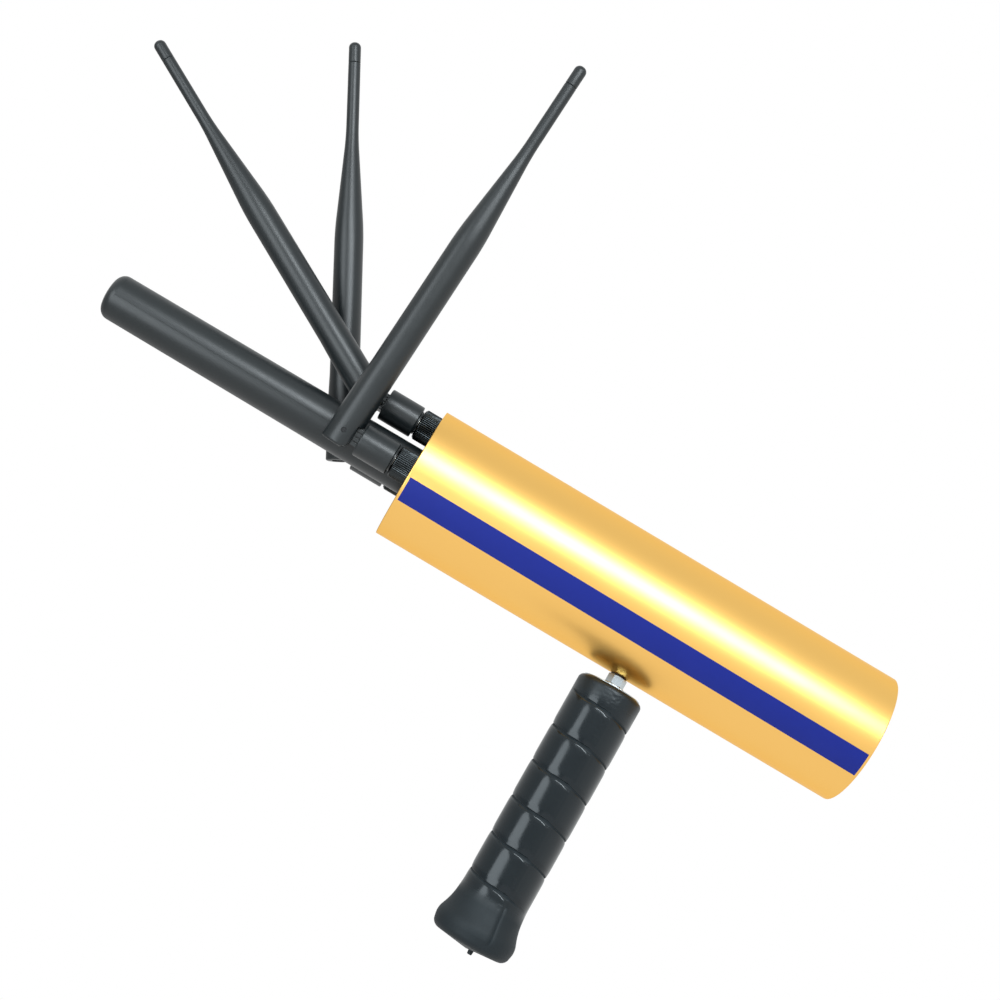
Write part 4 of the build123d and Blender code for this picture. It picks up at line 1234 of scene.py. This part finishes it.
@dataclass(frozen=True)
class StudFittings:
    """The hex nut, washer and a dark ring of painted shade on the handle's stud, and the cover over the upper
    bearing.
    """

    washer_bore: float = 2.5
    washer_r: float = 5.0
    washer_thick: float = 1.5
    washer_rounds: Pair = (0.2, 0.25)
    nut_flats: float = 7.3
    nut_top: float = 64.15
    cone_in: float = 0.1
    cone_high: float = 0.4
    # The dark ring over the nut is painted shade, not a part of the stud.
    shade_ring_bore: float = 2.6
    shade_ring_r: float = 3.6
    shade_ring_top: float = 64.55
    shade_ring_rounds: Pair = (0.25, 0.1)
    cover_bore: float = 5.7
    cover_step: float = 7.5
    cover_r: float = 12.8
    cover_sunk: float = 0.05
    cover_rim: float = 0.3
    cover_thick: float = 0.55
    cover_edge: float = 0.12
    cover_blend: float = 0.5

    def build(self) -> None:
        """Build the fittings' pieces."""
        self.nut()
        self.washer()
        self.painted_shade_ring()
        self.cover()

    def nut(self) -> None:
        """Cut a hexagon with a pair of cones, as a nut's corners are turned."""
        low = GRIP_TOP + self.washer_thick
        high = self.nut_top
        flat = self.nut_flats / 2
        corner = flat / math.cos(math.pi / 6)
        hexagon = bmesh.new()
        bmesh.ops.create_circle(
            hexagon, segments=6, radius=corner * MM, cap_ends=True,
            matrix=Matrix.Rotation(math.pi / 6, 4, "Z"),
        )
        bmesh.ops.translate(hexagon, vec=UP * (low * MM), verts=hexagon.verts)
        thicken(hexagon, UP * (high - low))
        rim = corner + self.cone_in
        face = flat - self.cone_in
        cones = lathe([
            (0, low), (face, low), (rim, low + self.cone_high), (rim, high - self.cone_high), (face, high),
            (0, high),
        ])
        nut = carve(hexagon, cones, Keep.SHARED)
        make_piece("stud_hex_nut", nut, "plated_steel", "detector", "stud_nut", sharp_deg=20.0, edge_mm=0.08)

    def washer(self) -> None:
        """Spin the plain washer."""
        outline = rectangle((self.washer_bore, GRIP_TOP), (self.washer_r, GRIP_TOP + self.washer_thick))
        shape = lathe(outline, steps=64, closed=True, rounds=dict(enumerate(self.washer_rounds, 1)))
        make_piece("stud_plain_washer", shape, "plated_steel", "detector", "stud_washer")

    def painted_shade_ring(self) -> None:
        """Spin the dark ring between the nut and the tube: painted shade, standing in for the dark band of
        shade above the nut.
        """
        outline = rectangle((self.shade_ring_bore, self.nut_top), (self.shade_ring_r, self.shade_ring_top))
        shape = lathe(outline, steps=64, closed=True, rounds=dict(enumerate(self.shade_ring_rounds, 1)))
        make_piece("stud_painted_shade_ring", shape, "black_nylon", "detector")

    def cover(self) -> None:
        """Spin the thin cover that keeps dirt out of the upper bearing; it turns with the grip."""
        low = GRIP_TOP - self.cover_sunk
        high = low + self.cover_thick
        outline = [
            (self.cover_bore, low), (self.cover_r, low), (self.cover_r, low + self.cover_rim),
            (self.cover_step, high), (self.cover_bore, high),
        ]
        rounds = {2: self.cover_edge, 3: self.cover_blend, 4: self.cover_edge}
        make_piece("bearing_cover", lathe(outline, closed=True, rounds=rounds), "plated_steel", "handle")


@dataclass(frozen=True)
class RearControls:
    """The recessed panel's knob, button, lenses and dial ticks.

    button and lens hold (radius, height) points, with heights towards the rear. Places are to the left of the
    tube's axis and above it. rim_steps holds how far each ring of the knob's rim lies up and in.
    """

    knob_up: float = 9.0
    knob_off: float = 2.7
    knob_r: float = 7.5
    knob_skirt: float = 6.2
    flutes: int = 24
    flute_drops: tuple[float, ...] = (0.0, 0.0, 0.45, 0.45)
    rim_steps: Outline = ((0.2, 0.35), (1.0, 1.0), (0.2, 1.5), (-0.3, 2.0))
    pointer_off: float = 10.05
    pointer_low: float = 1.2
    pointer_high: float = 6.3
    pointer_half: float = 0.45
    pointer_thick: float = 0.5
    pointer_round: float = 0.3
    button: Outline = ((0, 0), (4.5, 0), (4.5, 7.2), (3.2, 7.75), (0, 8.0))
    button_rim_round: float = 0.5
    button_dome_round: float = 0.8
    button_place: Pair = (13.0, -8.0)
    button_sunk: float = 4.0
    lens: Outline = ((0, -4.0), (2.9, -4.0), (2.9, -3.0), (2.5, -3.0), (2.5, 1.0), (1.9, 1.8), (0, 2.2))
    lens_rim_round: float = 0.3
    lens_dome_round: float = 0.7
    lens_places: Outline = ((5.0, -17.0), (-5.0, -17.0))
    ticks: int = 11
    tick_first_deg: float = -150.0
    tick_step_deg: float = 30.0
    tick_low: float = 9.0
    tick_high: float = 10.6
    long_tick_high: float = 11.2
    long_tick_every: int = 5
    tick_half: float = 0.25
    tick_thick: float = 0.1

    def build(self) -> None:
        """Build the controls' pieces."""
        self.knob()
        self.pointer()
        self.push_button()
        self.lenses()
        self.dial()

    def facing_rear(self, x: float, left: float, up: float) -> Matrix:
        """Return the matrix of a shape whose Z points to the rear."""
        return axes((x, left, TUBE_Z + up), -LEFT, UP, -FORWARD)

    def on_dial(self, x: float) -> Matrix:
        """Return the matrix of an outline that lies flat round the knob's axis."""
        return axes((x, 0, TUBE_Z + self.knob_up), LEFT, FORWARD, UP)

    def knob(self) -> None:
        """Pull a fluted ring into a knob with a bevelled rim and a dished face."""
        shape = ribbed_ring(self.knob_r, self.flute_drops, self.flutes)
        rear = shape.edges[:]
        bmesh.ops.contextual_create(shape, geom=rear)
        ring = pull(shape, rear, self.knob_skirt)
        for up, inward in self.rim_steps:
            ring = pull(shape, ring, up, self.knob_r - inward)
        bmesh.ops.contextual_create(shape, geom=ring)
        bmesh.ops.recalc_face_normals(shape, faces=shape.faces)
        put(shape, self.facing_rear(PANEL_X - self.knob_off, 0.0, self.knob_up))
        make_piece("fluted_knob", shape, "control_plastic", "knob", "sensitivity_knob", sharp_deg=30.0)

    def pointer(self) -> None:
        """Lay a raised pointer on the knob's face."""
        outline = rectangle((-self.pointer_half, self.pointer_low), (self.pointer_half, self.pointer_high))
        shape = prism(outline, self.pointer_thick, {2: self.pointer_round, 3: self.pointer_round})
        put(shape, self.on_dial(PANEL_X - self.pointer_off))
        make_piece("knob_pointer", shape, "plated_steel", "knob")

    def push_button(self) -> None:
        """Spin the domed button."""
        shape = lathe(self.button, steps=64, rounds={2: self.button_rim_round, 3: self.button_dome_round})
        put(shape, self.facing_rear(PANEL_X + self.button_sunk, *self.button_place))
        make_piece("domed_button", shape, "red_button", "button", "power_button")

    def lenses(self) -> None:
        """Spin two domed lenses."""
        shapes = []
        for left, up in self.lens_places:
            shape = lathe(self.lens, steps=48, rounds={4: self.lens_rim_round, 5: self.lens_dome_round})
            shapes.append(put(shape, self.facing_rear(PANEL_X, left, up)))
        make_piece("domed_lenses", join(*shapes), "red_lens", "detector", "indicator_lenses")

    def dial(self) -> None:
        """Lay short scale marks on the panel round the knob."""
        marks = []
        for k in range(self.ticks):
            turn = Matrix.Rotation(math.radians(self.tick_first_deg + self.tick_step_deg * k), 4, "Y")
            high = self.tick_high if k % self.long_tick_every else self.long_tick_high
            mark = prism(rectangle((-self.tick_half, self.tick_low), (self.tick_half, high)), self.tick_thick)
            marks.append(put(mark, self.on_dial(PANEL_X) @ turn))
        make_piece("dial_ticks", join(*marks), "plated_steel", "detector")


@dataclass(frozen=True)
class Softbox:
    """One rectangular area light, in metres and watts."""

    name: str
    place: Triple
    target: Triple
    size: Pair
    watts: float
    twist_deg: float = 0.0
    tint: Triple = (0.88, 0.955, 1.0)

    def hang(self) -> None:
        """Hang the light so that it faces its target, turned about its own axis by its twist."""
        light = bpy.data.lights.new(self.name, "AREA")
        light.shape = "RECTANGLE"
        light.size = self.size[0]
        light.size_y = self.size[1]
        light.energy = self.watts
        light.color = self.tint
        lamp = show(self.name, light)
        lamp.location = self.place
        aim = (Vector(self.target) - Vector(self.place)).to_track_quat("-Z", "Y").to_matrix()
        lamp.rotation_euler = (aim @ Matrix.Rotation(math.radians(self.twist_deg), 3, "Z")).to_euler()


@dataclass(frozen=True)
class Studio:
    """The pale floor, the white surround, a strip softbox above the camera and a large one beside it.

    The camera's eye and lens are in millimetres, and every other length here is in metres. surround holds the
    linear colours that the surround shows in reflections, by how nearly they point at the strip softbox.
    """

    floor_z: float = -0.46
    floor_half: float = 6.0
    floor_mirrored: float = 0.98
    ambient: float = 0.08
    ambient_tint: Triple = (0.97, 0.985, 1.0)
    strip_direction: Triple = (0.0, 0.34, 0.94)
    surround: tuple[tuple[float, Triple], ...] = (
        (0.0, (0.98, 1.0, 1.0)), (0.57, (0.97, 0.99, 1.0)), (0.78, (0.92, 0.95, 0.965)),
        (0.92, (0.85, 0.88, 0.895)), (1.0, (0.77, 0.795, 0.81)),
    )
    softboxes: tuple[Softbox, ...] = (
        Softbox("strip_softbox", (-0.05, 1.18, 0.623), (-0.05, 0.0, 0.09), (1.00, 0.28), 14.4),
        Softbox("side_softbox", (0.797, 0.708, -0.108), (0.768, -0.277, 0.063), (0.63, 0.94), 7.6, 53.4),
    )
    lens: float = 62.54
    sensor: float = 36.0
    eye: Triple = (100.55, 713.47, -20.9)
    right: Triple = (-0.85895, 0.11185, 0.49969)
    up: Triple = (0.51123, 0.13195, 0.84925)

    def build(self) -> None:
        """Build everything round the object."""
        bpy.context.scene.view_settings.view_transform = "Standard"
        self.world()
        self.floor()
        for softbox in self.softboxes:
            softbox.hang()
        self.camera()

    def world(self) -> None:
        """Surround the object with soft white light, which reflections show dimmer near the strip."""
        world = bpy.data.worlds.new("white_studio")
        bpy.context.scene.world = world
        tree = empty_tree(world)
        path = add(tree, "LightPath")
        direction = add(tree, "TexCoord").outputs["Generated"]
        near = add(tree, "VectorMath", {
            0: direction, 1: self.strip_direction,
        }, operation="DOT_PRODUCT")
        stops = [(share, (*colour, 1)) for share, colour in self.surround]
        tone = add(tree, "ValToRGB", {"Fac": near.outputs["Value"]}, stops=stops)
        split = add(tree, "SeparateXYZ", {"Vector": direction})
        behind = remap(tree, split.outputs["X"], (-0.9, -0.3), (1.12, 0.75))
        low = remap(tree, split.outputs["Z"], (0.05, 0.3), (behind, 1.0))
        ambient = add(tree, "Background", {"Color": (*self.ambient_tint, 1), "Strength": self.ambient})
        mirrored = add(tree, "Background", {"Color": tone.outputs["Color"], "Strength": low})
        white = add(tree, "Background", {"Color": WHITE, "Strength": 1.0})
        shiny = blend(tree, path.outputs["Is Glossy Ray"], ambient, mirrored)
        mixed = blend(tree, path.outputs["Is Camera Ray"], shiny, white)
        add(tree, "OutputWorld", {"Surface": mixed.outputs[0]})

    def floor(self) -> None:
        """Lay a pale floor well below the hand-held object."""
        shape = bmesh.new()
        bmesh.ops.create_grid(shape, x_segments=8, y_segments=8, size=self.floor_half)
        bmesh.ops.translate(shape, vec=UP * self.floor_z, verts=shape.verts)
        mesh = settle("floor", shape)
        mesh.materials.append(self.paper())
        show("floor", mesh)

    def paper(self) -> bpy.types.Material:
        """Make pale paper that fades into the white surround far off; reflections show it dimmer ahead, which
        is painted shade.

        Returns:
            The floor's material.
        """
        made = bpy.data.materials.new("pale_paper_floor")
        tree = empty_tree(made)
        paper = add(tree, "BsdfDiffuse", {"Color": linear("F4F4F3")})
        place = add(tree, "TexCoord").outputs["Object"]
        ahead = add(tree, "SeparateXYZ", {"Vector": place}).outputs["X"]
        # Painted shade: in reflections the floor's glow falls to half strength ahead of the object.
        shade = remap(tree, ahead, (0.2, 0.7), (1.0, 0.5))
        white = add(tree, "Emission", {"Color": WHITE, "Strength": 1.0})
        dim = add(tree, "Emission", {"Color": WHITE, "Strength": shade})
        far = add(tree, "VectorMath", {0: place}, operation="LENGTH").outputs["Value"]
        fade = remap(tree, far, (0.5, 0.9), (0.55, 1.0))
        path = add(tree, "LightPath").outputs
        seen = add(tree, "Math", {0: fade, 1: path["Is Camera Ray"]}, operation="MULTIPLY")
        shiny = add(tree, "Math", {0: path["Is Glossy Ray"], 1: self.floor_mirrored}, operation="MULTIPLY")
        mixed = blend(tree, seen.outputs[0], paper, white)
        mirrored = blend(tree, shiny.outputs[0], mixed, dim)
        add(tree, "OutputMaterial", {"Surface": mirrored.outputs[0]})
        return made

    def camera(self) -> None:
        """Set the camera where the photograph was taken from."""
        data = bpy.data.cameras.new("camera")
        data.lens = self.lens
        data.sensor_width = self.sensor
        data.clip_start = 0.01
        camera = show("camera", data)
        right = Vector(self.right).normalized()
        back = right.cross(Vector(self.up)).normalized()
        camera.matrix_world = axes(self.eye, right, back.cross(right), back)
        bpy.context.scene.camera = camera


def dress_nodes() -> None:
    """Give every solid the material of its record slot, or of the plating over it."""
    for entry in frame["record"]["subparts"]:
        name = entry["node"]
        finish = SLOT_FINISH[entry["material_slot"]]
        for ending, plating in PLATING.items():
            if name.endswith(ending):
                finish = plating
        materials = frame["nodes"][name].data.materials
        materials.clear()
        materials.append(finish.material())


def main() -> None:
    """Build the object's sub-assemblies in order, and then the studio round it."""
    logging.basicConfig(level=logging.INFO)
    dress_nodes()
    Housing().build()
    for antenna in (
        Antenna(Side.LEFT, socket_deg=-6.5, bend_deg=92.5, lean_deg=9.1),
        Antenna(Side.TOP, socket_deg=90.0, bend_deg=28.6, lean_deg=-1.3),
        Antenna(Side.RIGHT, socket_deg=186.5, bend_deg=60.9, lean_deg=3.4),
    ):
        antenna.build()
    Grip().build()
    StudFittings().build()
    RearControls().build()
    Studio().build()


if __name__ == "__main__":
    main()
